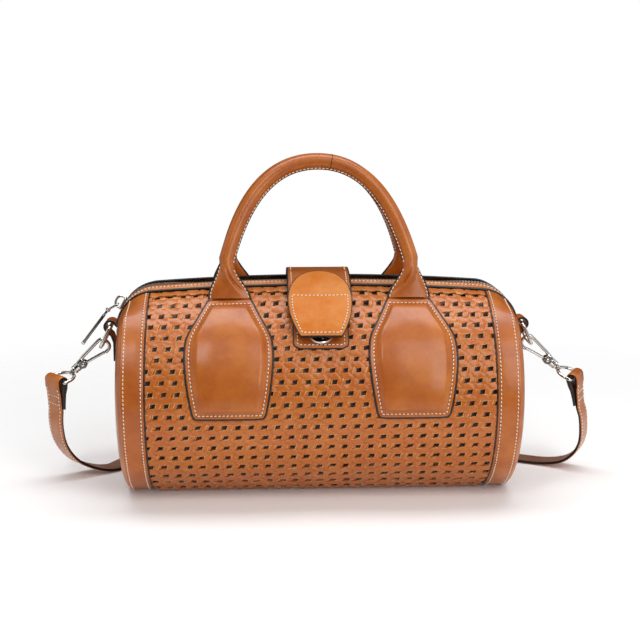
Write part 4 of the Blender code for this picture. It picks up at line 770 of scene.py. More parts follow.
def cloth_material(name, colour, pitch, depth, roughness=0.8):
    """Woven cloth: threads both ways at a pitch in metres."""
    material, shader, vector = principled(name, Roughness=roughness, Sheen_Weight=0.25)
    shader.inputs["Base Color"].default_value = (*colour, 1.0)
    parts = node(material, "ShaderNodeSeparateXYZ", {"Vector": vector}).outputs
    waves = []
    for axis in ("X", "Z"):
        turn = node(
            material, "ShaderNodeMath", {0: parts[axis], 1: 2 * math.pi / pitch}, operation="MULTIPLY"
        )
        wave = node(material, "ShaderNodeMath", {0: turn.outputs["Value"]}, operation="SINE")
        waves.append(wave.outputs["Value"])
    threads = node(
        material, "ShaderNodeMath", {0: waves[0], 1: waves[1]}, operation="MULTIPLY"
    ).outputs["Value"]
    bump = node(material, "ShaderNodeBump", {"Height": threads, "Strength": 1.0, "Distance": depth})
    material.node_tree.links.new(bump.outputs["Normal"], shader.inputs["Normal"])
    return material


def make_materials():
    """Fill STUFF with the bag's materials, in the colours of the panel."""
    group = bpy.context.scene.handbag_colours
    tint = {key: tuple(getattr(group, key)) for key in HandbagColours.__annotations__}
    pale = tint["leather_pale"]
    # The lighter tan paints highlight on the zip strips and, in part, light on the tab
    light = tint["leather_light"]
    STUFF.update({
        # Glazed leather shows cloudy tan under a clear coat, with soft bright highlights
        "leather": leather_material("glazed tan leather", tint["leather"], pale),
        # The tab's leather has hardly any glaze, so it looks drier and more creased; its lighter tan is
        # partly its own tone and partly painted light on its upturned face
        "tab": leather_material("light glazed leather", light, linear("#D08848"), 0.05, 0.6, 0.05),
        # Zip strips share the tab's lighter tan and have the strongest glaze; that tan and their very pale
        # clouds are painted highlight, for the overhead light on their upturned tops
        "strip": leather_material("zip strip leather", light, linear("#D9A078"), 0.7),
        # Woven strips are glazed and stretched, so they show fewer creases
        "weave": leather_material("woven leather strips", tint["weave"], pale, 0.6, 0.2),
        # Cut edges show the pale fibres of the hide in patches
        "raw_edge": raw_edge_material("raw cut leather edge", tint["weave"], tint["raw_edge"]),
        # Needle holes are a dark matt disc: painted shade inside the hole
        "hole": plain_material("needle hole", linear("#1A1210"), 0.8, 0.0008, 0.00004),
        # Brushed-on edge paint is near black, with a dull gleam and slight waves
        "edge": plain_material("painted leather edge", tint["edge"], 0.38, 0.0012, 0.00008),
        # The flesh side is a duller brown with no glaze, darkened further as painted shade for the strap
        # lying on the ground behind the bag
        "back": leather_material("leather's flesh side", linear("#7A5545"), linear("#94705E"), 0.0),
        # Sewing thread is off-white and dull
        "thread": plain_material("sewing thread", tint["thread"], 0.6, 0.0003, 0.00005),
        # Satin lining glints a little; its threads are drawn coarser than real ones, so that they show
        "lining": cloth_material("satin lining cloth", tint["lining"], 0.0012, 0.0001, 0.28),
        # Zip tape is dull black, and its threads too are drawn coarser than real ones
        "tape": cloth_material("woven zip tape", linear("#1B1918"), 0.0011, 0.00012),
        # Foam is pale and fully matt
        "foam": plain_material("foam filling", linear("#CFC3A8"), 0.9, 0.001, 0.0002),
        # Pressed fibre board is brown and fully matt
        "board": plain_material("fibre board", linear("#7A6346"), 0.9, 0.002, 0.0001),
    })
    # Polished plate mirrors the studio and brushed teeth blur it; the darker plate is the same nickel painted
    # darker, as painted dark reflections on the pull's bar and the boss round the gate's pin
    for key, name, colour, roughness in (
        ("nickel", "polished nickel plate", "#D9D5CF", 0.10),
        ("teeth", "brushed nickel zip teeth", "#E6E3DE", 0.34),
        ("nickel_painted_dark", "smoked nickel plate", "#8E8A86", 0.2),
    ):
        STUFF[key] = plain_material(name, linear(colour), roughness, 0.006, 0.00002, Metallic=1.0)


def row_angles():
    """Angles of the rows of holes on the front: closer at the middle than near top and base."""
    angle = 68.1
    rows = []
    while angle > -89:
        rows.append(math.radians(angle))
        angle -= 5.95 + 1.9 * ease((angle - 30) / 38) + 2.6 * ease((-angle - 6) / 40)
    return rows


def all_rows():
    """Rows round the whole barrel, from the front's top by way of the base to the back's top."""
    front = row_angles()
    return front + [-math.pi - a for a in reversed(front)]


def drift(angle):
    """How far the columns have moved to the right at an angle, from the barrel's front middle."""
    degrees = math.degrees(-angle)
    if degrees < 8:
        return degrees * 0.000262
    return 8 * 0.000262 + (degrees - 8) * 0.000085


def row_share(rows, k):
    """The angle between rows, at a whole or half row number."""
    low = clamp(math.floor(k), 0, len(rows) - 2)
    return rows[low] + (rows[low + 1] - rows[low]) * (k - low)


def shaken(chance, count, size):
    return [chance.uniform(-size, size) for _ in range(count)]


def weave_strap(k, rows, chance):
    """One strap along the bag between two rows of holes, pinched where the cross strips pass."""
    centre = row_share(rows, k)
    gap = abs(row_share(rows, k + 0.5) - row_share(rows, k - 0.5)) * HALF_DEPTH
    half_angle = sizes().strap_width / 2 / HALF_DEPTH * gap / 0.0079
    stations = COLUMN_COUNT * STEPS_PER_HOLE
    lifts = shaken(chance, 40, 0.00030)
    tilts = shaken(chance, 40, 0.00042)
    pitch = sizes().column_pitch

    def place(i, j):
        x = -WEAVE_END + i / stations * 2 * WEAVE_END
        across = (-1, -0.89, -0.3, 0.3, 0.89, 1)[j]
        phase = (x - drift(centre) - FIRST_COLUMN) / pitch
        number = round(phase) + 4
        from_hole = phase - round(phase)
        crossing = 0.5 - 0.5 * math.cos(2 * math.pi * (from_hole + 0.07 * across))
        angle = centre - across * half_angle * (1.06 - 0.24 * crossing)
        rise = 0.0004 * crossing + 0.00022 * (1 - across * across)
        rise += (lifts[number] + tilts[number] * across) * bump(from_hole / 0.5)
        from_crease = (abs(from_hole) - 0.5 - 0.16 * across * math.copysign(1, from_hole)) / 0.055
        return body_point(x, angle, rise - 0.0004 - 0.0009 * math.exp(-from_crease ** 2))

    return grid("strap", stations, 5, place)


def weave_crossing(n, rows, strand, chance):
    """One of two strips across the straps: a broad one, and a narrow one beyond a leaning slit."""
    shifts = shaken(chance, len(rows) + 2, 0.00016)
    lifts = shaken(chance, len(rows) + 2, 0.00016)
    tilts = shaken(chance, len(rows) + 2, 0.00030)
    pitch = sizes().column_pitch

    def place(i, j):
        k = j / STEPS_PER_HOLE
        angle = row_share(rows, k)
        across = (-1, -0.80, 0.80, 1)[i]
        number = round(k)
        from_row = k - number
        up = clamp(-from_row / 0.27, -1.15, 1.15)
        left = -CROSSING_HALF_WIDTH + 0.0002 * up * up + 0.0008 * up
        right = CROSSING_HALF_WIDTH - 0.0002 * up * up + 0.0008 * up
        slit = SLIT_PLACE + SLIT_LEAN * up
        low, high = (left, slit - 0.00018) if strand == 0 else (min(slit + 0.00020, right - 0.0005), right)
        over = ease((0.42 - abs(from_row)) / 0.2)
        middle = FIRST_COLUMN + drift(angle) + (n + 0.5) * pitch + shifts[number] * over
        x = clamp(middle + low + (high - low) * (across + 1) / 2, -WEAVE_END, WEAVE_END)
        rise = -0.0015 + (0.0016 - 0.0004 * strand) * over + 0.0004 * (1 - across * across)
        rise += (lifts[number] + tilts[number] * across) * over
        return body_point(x, angle, rise)

    return grid("strip", 3, STEPS_PER_HOLE * (len(rows) - 1), place)


class HANDBAG_OT_weave(bpy.types.Operator):
    """Weave the barrel: straps along the bag and pairs of strips across them"""
    bl_idname = "handbag.weave"
    bl_label = "Woven barrel"

    def add_layer(self, name, strips, thickness, *nodes):
        """Strips of one layer joined, with their thickness and pale cut edges."""
        woven = join(name, strips)
        modify(woven, "SOLIDIFY", thickness=thickness, offset=-1.0, material_offset_rim=1)
        wear(smooth(woven, WEAVE_SMOOTH), "bag", "woven_leather", *nodes)

    def execute(self, context):
        rows = all_rows()
        chance = random.Random(sizes().seed)
        straps = []
        for number in range(len(rows) + 1):
            straps.append(paint(weave_strap(number - 0.5, rows, chance), "weave", "raw_edge"))
            border(straps[-1], COLUMN_COUNT * STEPS_PER_HOLE, 5, False)
        self.add_layer("woven_straps_1", straps[::2], 0.0010, "woven_shell")
        self.add_layer("woven_straps_2", straps[1::2], 0.0010)
        for strand in (0, 1):
            strips = []
            for n in range(-4, 29):
                strips.append(paint(weave_crossing(n, rows, strand, chance), "weave", "raw_edge"))
                border(strips[-1], 3, STEPS_PER_HOLE * (len(rows) - 1), True)
            self.add_layer(f"woven_strips_{strand + 1}", strips, 0.0008)
        return {"FINISHED"}


class HANDBAG_OT_lining(bpy.types.Operator):
    """Lay the dark cloth lining that shows through the weave"""
    bl_idname = "handbag.lining"
    bl_label = "Lining"

    def execute(self, context):
        angles = spread(-math.pi - SLOT_ANGLE, SLOT_ANGLE, 72)

        def place(i, j):
            wave = 0.0004 * math.sin(i * 1.3 + j * 0.9)
            x = -LINING_HALF_LENGTH + 2 * LINING_HALF_LENGTH * i / 40
            return body_point(x, angles[j], -LINING_DEPTH + wave)

        cloth = paint(grid("lining_cloth", 40, 72, place), "lining")
        modify(cloth, "SOLIDIFY", thickness=0.0006, offset=-1.0)
        wear(smooth(cloth), "bag", "lining_cloth", "lining")
        return {"FINISHED"}


class HANDBAG_OT_ends(bpy.types.Operator):
    """Add the leather bands round both ends, the domed end panels and their stitching"""
    bl_idname = "handbag.ends"
    bl_label = "End bands and panels"

    def execute(self, context):
        edge = math.acos(SLOT_HALF_WIDTH / (HALF_DEPTH - 0.002))
        angles = spread(-math.pi - edge, edge, 120)
        section = (
            (0.0, 0.0011), (0.0006, 0.0017), (0.004, 0.0020), (0.0078, 0.0021), (0.0116, 0.0020),
            (0.0140, 0.0021), (0.0152, 0.0020), (BAND_WIDTH, 0.0016), (BAND_WIDTH + 0.0003, 0.0009),
        )
        for side, sign in SIDES:
            profile = section[::-sign]

            def place(i, j):
                along, rise = profile[i]
                return body_point(-sign * (BAND_EDGE + along), angles[j], rise - 0.0004)

            band = leather_sheet(f"end_band_leather_{side}", len(profile) - 1, 120, place, 0.0014)
            wear(band, "bag", SKIN, f"end_band_{side}")
            inner = [body_point(-sign * (BAND_EDGE - 0.0003), a, 0.0009) for a in angles]
            trim(f"end_band_edge_{side}", inner, 0.0006)
            rows = [
                [(body_point(-sign * (BAND_EDGE + inset), a, 0.0017), body_normal(a)) for a in angles]
                for inset in (0.0021, BAND_WIDTH - 0.0021)
            ]
            wear(sew(f"end_band_stitches_{side}", rows), "bag", SKIN)
            self.add_panel(side, sign)
        return {"FINISHED"}

    def add_panel(self, side, sign):
        """The domed panel, cut away at its top where the zip comes down over the shoulder."""
        shares = (0.0, 0.2, 0.4, 0.58, 0.74, 0.86, 0.93, 0.97, 0.99, 1.0)
        turns = spread(-math.pi, math.pi, 128)
        panel = grid(
            f"end_panel_leather_{side}", len(shares) - 1, 128,
            lambda i, j: mirrored(dome_point(max(shares[i], 0.001), turns[j], -0.0008), -sign),
        )
        weld(panel, 0.00018, "round" if sign > 0 else None)
        paint(panel, "leather", "edge")
        modify(panel, "SOLIDIFY", thickness=0.0018, offset=-1.0, material_offset_rim=0)
        ends = sorted((-sign * (SHOULDER_CENTRE_X - 0.01), -sign * (HALF_LENGTH + 0.02)))
        low = (ends[0], -SLOT_HALF_WIDTH, SLOT_FLOOR)
        slot = block("slot", low, (ends[1], SLOT_HALF_WIDTH, 0.2), corner=0.0, material=None)
        modify(panel, "BOOLEAN", operation="DIFFERENCE", solver="EXACT", object=slot)
        bpy.data.objects.remove(slot, do_unlink=True)
        wear(smooth(panel, 60), "bag", SKIN, f"end_panel_{side}")


def hanging(angle):
    return Vector((-math.sin(angle), 0.0, -math.cos(angle)))


def rounded_loop(half_width, length, near_corner, far_corner, steps=8):
    """A closed loop from a straight side at 0 to one at its length, with rounded corners."""
    points = []
    for x, y, radius, start in (
        (half_width - near_corner, near_corner, near_corner, -90),
        (half_width - far_corner, length - far_corner, far_corner, 0),
        (-half_width + far_corner, length - far_corner, far_corner, 90),
        (-half_width + near_corner, near_corner, near_corner, 180),
    ):
        for angle in spread(math.radians(start), math.radians(start + 90), steps):
            points.append((x + radius * math.cos(angle), y + radius * math.sin(angle)))
    return points


def circle(radius, steps=20):
    """(x, y) pairs of a closed ring."""
    return [(radius * math.cos(a), radius * math.sin(a)) for a in spread(0, 2 * math.pi, steps)[:-1]]


class HANDBAG_OT_zip(bpy.types.Operator):
    """Add the zip: leather strips, piping, tapes, teeth, stops, slider and pull"""
    bl_idname = "handbag.zip"
    bl_label = "Zip"

    def piping_rise(self, run):
        """The piping stands a little higher on the shoulders, proud of the bands and end panels."""
        passed = (abs(run) - SHOULDER_CENTRE_X) / SHOULDER_RADIUS
        return PIPING_RISE + 0.0012 * ease(passed / ZIP_END_ANGLE)

    def strip_lift(self, run, y):
        """The back strip's inner edge stands up along the top, so that its dark edge shows from the front."""
        along = 1 - ease((abs(run) - SHOULDER_CENTRE_X) / (0.8 * SHOULDER_RADIUS))
        inward = clamp((STRIP_OUTER_Y - y) / (STRIP_OUTER_Y - STRIP_INNER_Y))
        return 0.0024 * along * inward if y > 0 else 0.0

    def runs(self):
        bend = [SHOULDER_CENTRE_X + a * SHOULDER_RADIUS for a in spread(0.0, ZIP_END_ANGLE, 14)]
        right = spread(0.0, SHOULDER_CENTRE_X, 12)[:-1] + bend
        return [-run for run in reversed(right[1:])] + right

    def execute(self, context):
        runs = self.runs()
        seams = []
        for name, sign in (("front", -1), ("back", 1)):
            raised = 0.0008 if sign > 0 else 0.0
            cord = [zip_point(run, sign * PIPING_Y, self.piping_rise(run) + raised) for run in runs]
            piping = wire(f"piping_leather_{name}", cord, 0.0011, material="edge", sides=4)
            wear(piping, "bag", DARK, f"piping_{name}")
            order = (
                (STRIP_INNER_Y, 0.0), (0.0046, 0.0008), (0.0062, 0.0010), (0.011, 0.0010),
                (0.0165, 0.0010), (0.0178, 0.0008), (STRIP_OUTER_Y, 0.0),
            )[::sign]

            def strip_place(i, j):
                y, rise = order[j]
                return zip_point(runs[i], sign * y, rise + self.strip_lift(runs[i], sign * y))

            strip = leather_sheet(
                f"zip_strip_leather_{name}", len(runs) - 1, len(order) - 1, strip_place, 0.0013,
                ("strip", "edge"),
            )
            for face in strip.data.polygons:
                if 0.0 < face.center.y < 0.0064:
                    face.material_index = 1
            wear(strip, "bag", SKIN, f"zip_strip_{name}")
            tape_rows = (0.0009, 0.009, 0.0165)[::sign]
            tape = leather_sheet(
                f"zip_tape_cloth_{name}", len(runs) - 1, 2,
                lambda i, j: zip_point(runs[i], sign * tape_rows[j], -0.0008), 0.0006, ("tape",),
            )
            wear(tape, "bag", "zip_tape", f"zip_tape_{name}")
            y = sign * ZIP_STITCH_Y
            seams.append([
                (
                    zip_point(run, y, 0.0011 + self.strip_lift(run, y)),
                    zip_point(run, y, 1.0) - zip_point(run, y, 0.0),
                )
                for run in runs
            ])
        wear(sew("zip_stitches", seams), "bag", SKIN)
        self.add_teeth()
        for side, sign in SIDES:
            end = zip_frame(ZIP_END_ANGLE - 0.002 / SHOULDER_RADIUS, sign)
            stop = block(f"zip_stop_metal_{side}", (-0.001, -0.0031, 0.0008), (0.001, 0.0031, 0.002), end)
            wear(stop, "bag", METAL, f"zip_stop_{side}")
        self.add_slider()
        self.add_pull()
        return {"FINISHED"}

    def add_teeth(self):
        end = SHOULDER_CENTRE_X + ZIP_END_ANGLE * SHOULDER_RADIUS - 0.003
        count = int(2 * end / sizes().teeth_pitch * 2)
        teeth = []
        for k in range(count + 1):
            run = -end + 2 * end * k / count
            y = 0.0009 if k % 2 else -0.0009
            rise = -0.0007 + 0.0014 * ease((abs(run) - 0.082) / 0.026)
            here = zip_point(run, y, rise)
            out = (zip_point(run, y, rise + 0.001) - here).normalized()
            along = (zip_point(run + 0.0004, y, rise) - here).normalized()
            place = axes(along, out.cross(along), out, here)
            low, high = (-0.00042, -0.0019, -0.0009), (0.00042, 0.0019, 0.0007)
            teeth.append(block("tooth", low, high, place, 0.0, "teeth"))
        wear(join("zip_teeth_metal", teeth), "bag", METAL, "zip_teeth")

    def add_slider(self):
        place = zip_frame(SLIDER_ANGLE)
        low, high = (-0.0046, -0.0039, 0.0013), (0.0046, 0.0039, SLIDER_TOP)
        body = block("zip_slider_metal", low, high, place, 0.0007)
        arch = [
            (-0.0042 * math.cos(a), SLIDER_TOP + 0.0046 * math.sin(a) ** 0.6)
            for a in spread(0.15, math.pi - 0.15, 16)
        ]
        foot = SLIDER_TOP - 0.0006
        arch = [(-0.0042, foot)] + arch + [(0.0042, foot)]
        bridge = wire("bridge", [place @ Vector((a, 0.0, out)) for a, out in arch], 0.0009)
        wear(join("zip_slider_metal", [body, bridge]), "zip_slider", METAL, "zip_slider")

    def add_pull(self):
        start = zip_frame(SLIDER_ANGLE) @ Vector((0.0022, 0.0, SLIDER_TOP + 0.0020))
        down = hanging(LINK_ANGLE)
        loop = [start + BACK * a + down * b for a, b in rounded_loop(0.0022, LINK_LENGTH, 0.0009, 0.0009)]
        wear(wire("zip_link_metal", loop, 0.0006, True), "zip_link", METAL, "zip_pull_link")
        bar_down = hanging(PULL_ANGLE)
        side = BACK.cross(bar_down).normalized()
        place = axes(side, BACK, bar_down, start + down * LINK_LENGTH)
        low, high = (-0.0011, -0.003, 0.0042), (0.0011, 0.003, PULL_LENGTH)
        # The bar is nickel painted darker, standing for the dark reflections on it
        parts = [block("bar", low, high, place, 0.0009, "nickel_painted_dark")]
        parts.append(block("neck", (-0.0009, -0.0011, 0.0008), (0.0009, 0.0011, 0.0052), place))
        ring = [place @ Vector((a, 0.0, b)) for a, b in circle(0.00135)]
        parts.append(wire("eye", ring, 0.00048, True))
        low, high = (-0.0013, -0.0032, PULL_LENGTH - 0.0018), (0.0013, 0.0032, PULL_LENGTH - 0.0004)
        parts.append(block("cap", low, high, place, 0.0005))
        wear(join("zip_pull_metal", parts), "zip_pull", METAL, "zip_pull_bar")


def patch_rows():
    """(angle, half width) down a handle patch, from its straight top to its rounded bottom."""
    path = smooth_path([Vector((a, w * 1000)) for a, w in PATCH_OUTLINE], 6)
    return [(math.radians(p.x), p.y / 1000) for p in path]


def patch_inset(inset, closed=True):
    """The patch's outline moved inwards, as (x from its middle, angle) pairs, its top left open if asked."""
    top = math.radians(PATCH_TOP) - inset / PATCH_RADIUS
    bottom = math.radians(PATCH_BOTTOM) + inset / PATCH_RADIUS
    side = [(w - inset, clamp(a, bottom, top)) for a, w in patch_rows()]
    side = [p for i, p in enumerate(side) if i == 0 or abs(p[1] - side[i - 1][1]) > 1e-4]
    left = [(-x, a) for x, a in side]
    bottom_row = [(x, bottom) for x in spread(left[-1][0], -left[-1][0], 8)][1:-1]
    right = [(-x, a) for x, a in reversed(left)]
    top_row = [(x, top) for x in spread(right[-1][0], left[0][0], 8)][1:]
    return left + bottom_row + right + (top_row if closed else [])


class HANDBAG_OT_patches(bpy.types.Operator):
    """Add the four padded handle patches with their black edges and stitching"""
    bl_idname = "handbag.patches"
    bl_label = "Handle patches"

    def execute(self, context):
        shares = [math.sin(math.pi / 2 * t) for t in spread(-1.0, 1.0, 32)]
        top, bottom = math.radians(PATCH_TOP), math.radians(PATCH_BOTTOM)
        tongue = math.radians(PATCH_TOP + 2.0)
        rows = ([(tongue, NECK_HALF_WIDTH)] + patch_rows())[::-1]

        def place(i, j):
            angle, half = rows[j]
            if angle > top:
                return body_point(-PATCH_X + shares[i] * half, angle, 0.0013)
            to_end = min(top - angle, angle - bottom) * PATCH_RADIUS
            inside = min((1 - abs(shares[i])) * half, to_end)
            swell = 0.0026 * ease((inside - 0.0032) / 0.0034) + 0.0009 * ease((inside - 0.004) / 0.014)
            dip = 0.00035 * bump((inside - 0.0022) / 0.0011)
            return body_point(-PATCH_X + shares[i] * half, angle, 0.0017 + swell - dip)

        leather = smooth(leather_sheet("patch", len(shares) - 1, len(rows) - 1, place, 0.0016), 70)
        corners = [body_point(-PATCH_X + side * NECK_HALF_WIDTH, tongue, 0.001) for side in (-1, 1)]
        outline = [body_point(-PATCH_X + x, a, 0.0010) for x, a in patch_inset(-0.0004, False)]
        rim = wire("rim", corners[:1] + outline + corners[1:], 0.0009, material="edge")
        seam = [(body_point(-PATCH_X + x, a, 0.00165), body_normal(a)) for x, a in patch_inset(0.0023)]
        thread = sew("patch_thread", [seam + seam[:1]])
        for x_sign, y_sign in ((-1, -1), (1, -1), (-1, 1), (1, 1)):
            corner = f"{'front' if y_sign > 0 else 'back'}_{'left' if x_sign > 0 else 'right'}"
            pieces = []
            for kind, model in (("leather", leather), ("edge", rim), ("stitches", thread)):
                first = x_sign > 0 and y_sign > 0
                name = f"patch_{kind}_{corner}"
                pieces.append(model if first else mirror_copy(model, name, x_sign, y_sign))
                pieces[-1].name = name
            piece, edge, stitches = pieces
            wear(piece, "bag", SKIN, f"patch_{corner}")
            wear(edge, "bag", DARK)
            wear(stitches, "bag", SKIN)
        return {"FINISHED"}


def handle_frame():
    """The front handle's plane, X across the bag, Y up the handle, Z to the front, and its height."""
    angle = math.radians(PATCH_TOP) + (NECK_THICKNESS / 2 + 0.0006) / HALF_HEIGHT
    anchor = body_point(PATCH_X, angle, NECK_SEAT) - Vector((PATCH_X, 0.0, 0.0))
    rise = math.hypot(HANDLE_TOP_Z - anchor.z, anchor.y + HANDLE_TOP_Y)
    lean = math.asin((-anchor.y - HANDLE_TOP_Y) / rise)
    up = Vector((0.0, math.sin(lean), math.cos(lean)))
    return axes(RIGHT, up, RIGHT.cross(up), anchor), rise


def handle_line(rise):
    """Stations up the handle in its plane: (place, heading, share of the neck passed)."""
    left = Vector((-HANDLE_HALF_SPAN, NECK_LENGTH, 0.0))
    pull = Vector((-HANDLE_LEG_PULL.x, HANDLE_LEG_PULL.y, 0.0))
    top = Vector((0.0, rise, 0.0))
    arch = interpolate_bezier(left, left + pull, top - RIGHT * HANDLE_TOP_PULL, top, 41)
    foot = Vector((-PATCH_X, 0.0, 0.0))
    stations = []
    for share in spread(0.0, 1.0, NECK_STATIONS - 1)[:-1]:
        along = BACK.lerp(pull.normalized(), ease(share)).normalized()
        stations.append((foot.lerp(left, share), along, share))
    stations += [(p, heading(arch, i), 1.0) for i, p in enumerate(arch)]
    stations[-1] = (top, RIGHT, 1.0)
    return stations + [
        (Vector((-p.x, p.y, 0.0)), Vector((h.x, -h.y, 0.0)), s) for p, h, s in reversed(stations[:-1])
    ]


def handle_skin(station, theta, lift=0.0):
    """A point of the handle's leather in its plane. Theta is 0 outside the arch, 90 degrees in front."""
    place, along, share = station
    out = Vector((-along.y, along.x, 0.0))
    flat = 1 - ease(share / 0.85)
    half_width = HANDLE_RADIUS + (NECK_HALF_WIDTH - HANDLE_RADIUS) * flat
    half_depth = HANDLE_RADIUS + (NECK_THICKNESS / 2 + 0.0002 - HANDLE_RADIUS) * flat
    wide = math.cos(theta)
    deep = math.sin(theta)
    if flat > 0:
        from_fold = wide + 0.80 - (share - 0.12) * 1.45
        fold = bump(from_fold / 0.20) * bump((share - 0.40) / 0.40)
        facet = bump((from_fold - 0.30) / 0.34) * bump((share - 0.42) / 0.42)
        gather = bump((wide - 0.25 - 0.5 * share) / 0.13) * bump((share - 0.62) / 0.34)
        creases = (0.34 * facet - 0.50 * fold - 0.24 * gather) * max(deep, 0.0)
        deep = deep * (1 - 0.5 * min(flat * 4, 1.0) * abs(wide) ** 5) + creases
    ridge = 0.0004 * math.exp(-((abs(theta % (2 * math.pi) - math.pi)) / 0.2) ** 2) * (1 - flat)
    sideways = out * wide * (half_width + lift + ridge)
    return place + sideways + UP * deep * (half_depth + lift)


class HANDBAG_OT_handles(bpy.types.Operator):
    """Add both rolled handles: leather gathered at four necks, seams and stitches"""
    bl_idname = "handbag.handles"
    bl_label = "Rolled handles"

    def execute(self, context):
        frame, rise = handle_frame()
        line = handle_line(rise)
        turns = spread(0.0, 2 * math.pi, 64)

        def spot(station, theta, lift=0.0):
            return frame @ handle_skin(station, theta, lift)

        def stitch(station, theta, facing):
            """A place on the leather and the direction that its stitch faces."""
            out = spot(station, facing, 0.001) - spot(station, facing)
            return spot(station, theta, 0.0001), out.normalized()

        skin = grid("handle", 64, len(line) - 1, lambda i, j: spot(line[j], turns[i] + math.pi))
        weld(skin, 0.00001)
        paint(skin, "leather")
        modify(skin, "SOLIDIFY", thickness=0.0012, offset=-1.0)
        smooth(skin, 70)
        edges = []
        for neck in (line[:NECK_STATIONS], line[-NECK_STATIONS:]):
            for theta in (0.0, math.pi):
                path = [
                    spot(s, theta, -0.0001 - 0.0009 * ease((s[2] - 0.6) / 0.26)) for s in neck if s[2] < 0.86
                ]
                edges.append(wire("edge", path, 0.0007, material="edge"))
        inner = [spot(s, math.pi, 0.0001) for s in line[NECK_STATIONS - 1:1 - NECK_STATIONS]]
        edges.append(wire("seam", inner, 0.0003, material="edge"))
        joint = line[len(line) // 2 + 4]
        ring = [spot(joint, a, 0.00005) for a in spread(0, 2 * math.pi, 32)[:-1]]
        edges.append(wire("joint", ring, 0.00022, True, "edge"))
        edging = join("handle_edges", edges)
        grip = line[NECK_STATIONS - 3:3 - NECK_STATIONS]
        rows = [[stitch(s, theta, theta) for s in grip] for theta in (math.pi - 0.24, math.pi + 0.24)]
        for neck in (line[:NECK_STATIONS], line[-NECK_STATIONS:]):
            for theta in (0.42, math.pi - 0.42):
                rows.append([stitch(s, theta, math.pi / 2) for s in neck if s[2] < 0.8])
        thread = sew("handle_stitches", rows)
        for place_name in ("back", "front"):
            nodes = [f"handle_neck_{place_name}_{side}" for side, _ in SIDES]
            for kind, model, slot in (
                ("leather", skin, SKIN), ("edges", edging, DARK), ("stitches", thread, SKIN)
            ):
                name = f"handle_{kind}_{place_name}"
                piece = model if place_name == "front" else mirror_copy(model, name, 1, -1)
                piece.name = name
                stands_for = [f"handle_sleeve_{place_name}"] + nodes if kind == "leather" else []
                wear(piece, f"handle_{place_name}", slot, *stands_for)
        return {"FINISHED"}


def closure_line():
    """The middle line of the closure strap, on the barrel's back and then free over the zip."""
    points = []
    for y, z in CLOSURE_PATH:
        if z is None:
            z = body_point(0.0, math.acos(y / (HALF_DEPTH + 0.0012)), 0.0012).z
        points.append(Vector((0.0, y, z)))
    return points


def outward(line, i):
    along = heading(line, i)
    return Vector((0.0, along.z, -along.y))


def snap_spot(offset):
    return body_point(0.0, SNAP_ANGLE) + body_normal(SNAP_ANGLE) * offset


def tab_line():
    """The tab's outer face down its middle, with the run from its top."""
    strap = smooth_path(closure_line(), 3)
    points = [strap[i] + outward(strap, i) * 0.0026 for i in range(HINGE_INDEX * 3 + 2, len(strap))]
    normal = body_normal(SNAP_ANGLE)
    down = Vector((0.0, -normal.z, normal.y))
    points += [snap_spot(TAB_RISE) - down * 0.0046, snap_spot(TAB_RISE) + down * 0.0062]
    line = smooth_path(points, 6)
    return line, run_lengths(line)


def tab_half_width(run):
    beyond = run - TAB_ROUND_RUN
    reach = TAB_LOWER_RUN if beyond > 0 else TAB_ROUND_RUN
    return TAB_HALF_WIDTH * math.sqrt(max(1 - (beyond / reach) ** 2, 0.0))


def tab_place(line, runs, x, run, lift=0.0):
    step = max(i for i, r in enumerate(runs[:-1]) if r <= run)
    share = (run - runs[step]) / (runs[step + 1] - runs[step])
    out = outward(line, step).lerp(outward(line, step + 1), share)
    spot = line[step].lerp(line[step + 1], share) + out * (0.0014 + lift)
    return Vector((x, spot.y, spot.z)), out


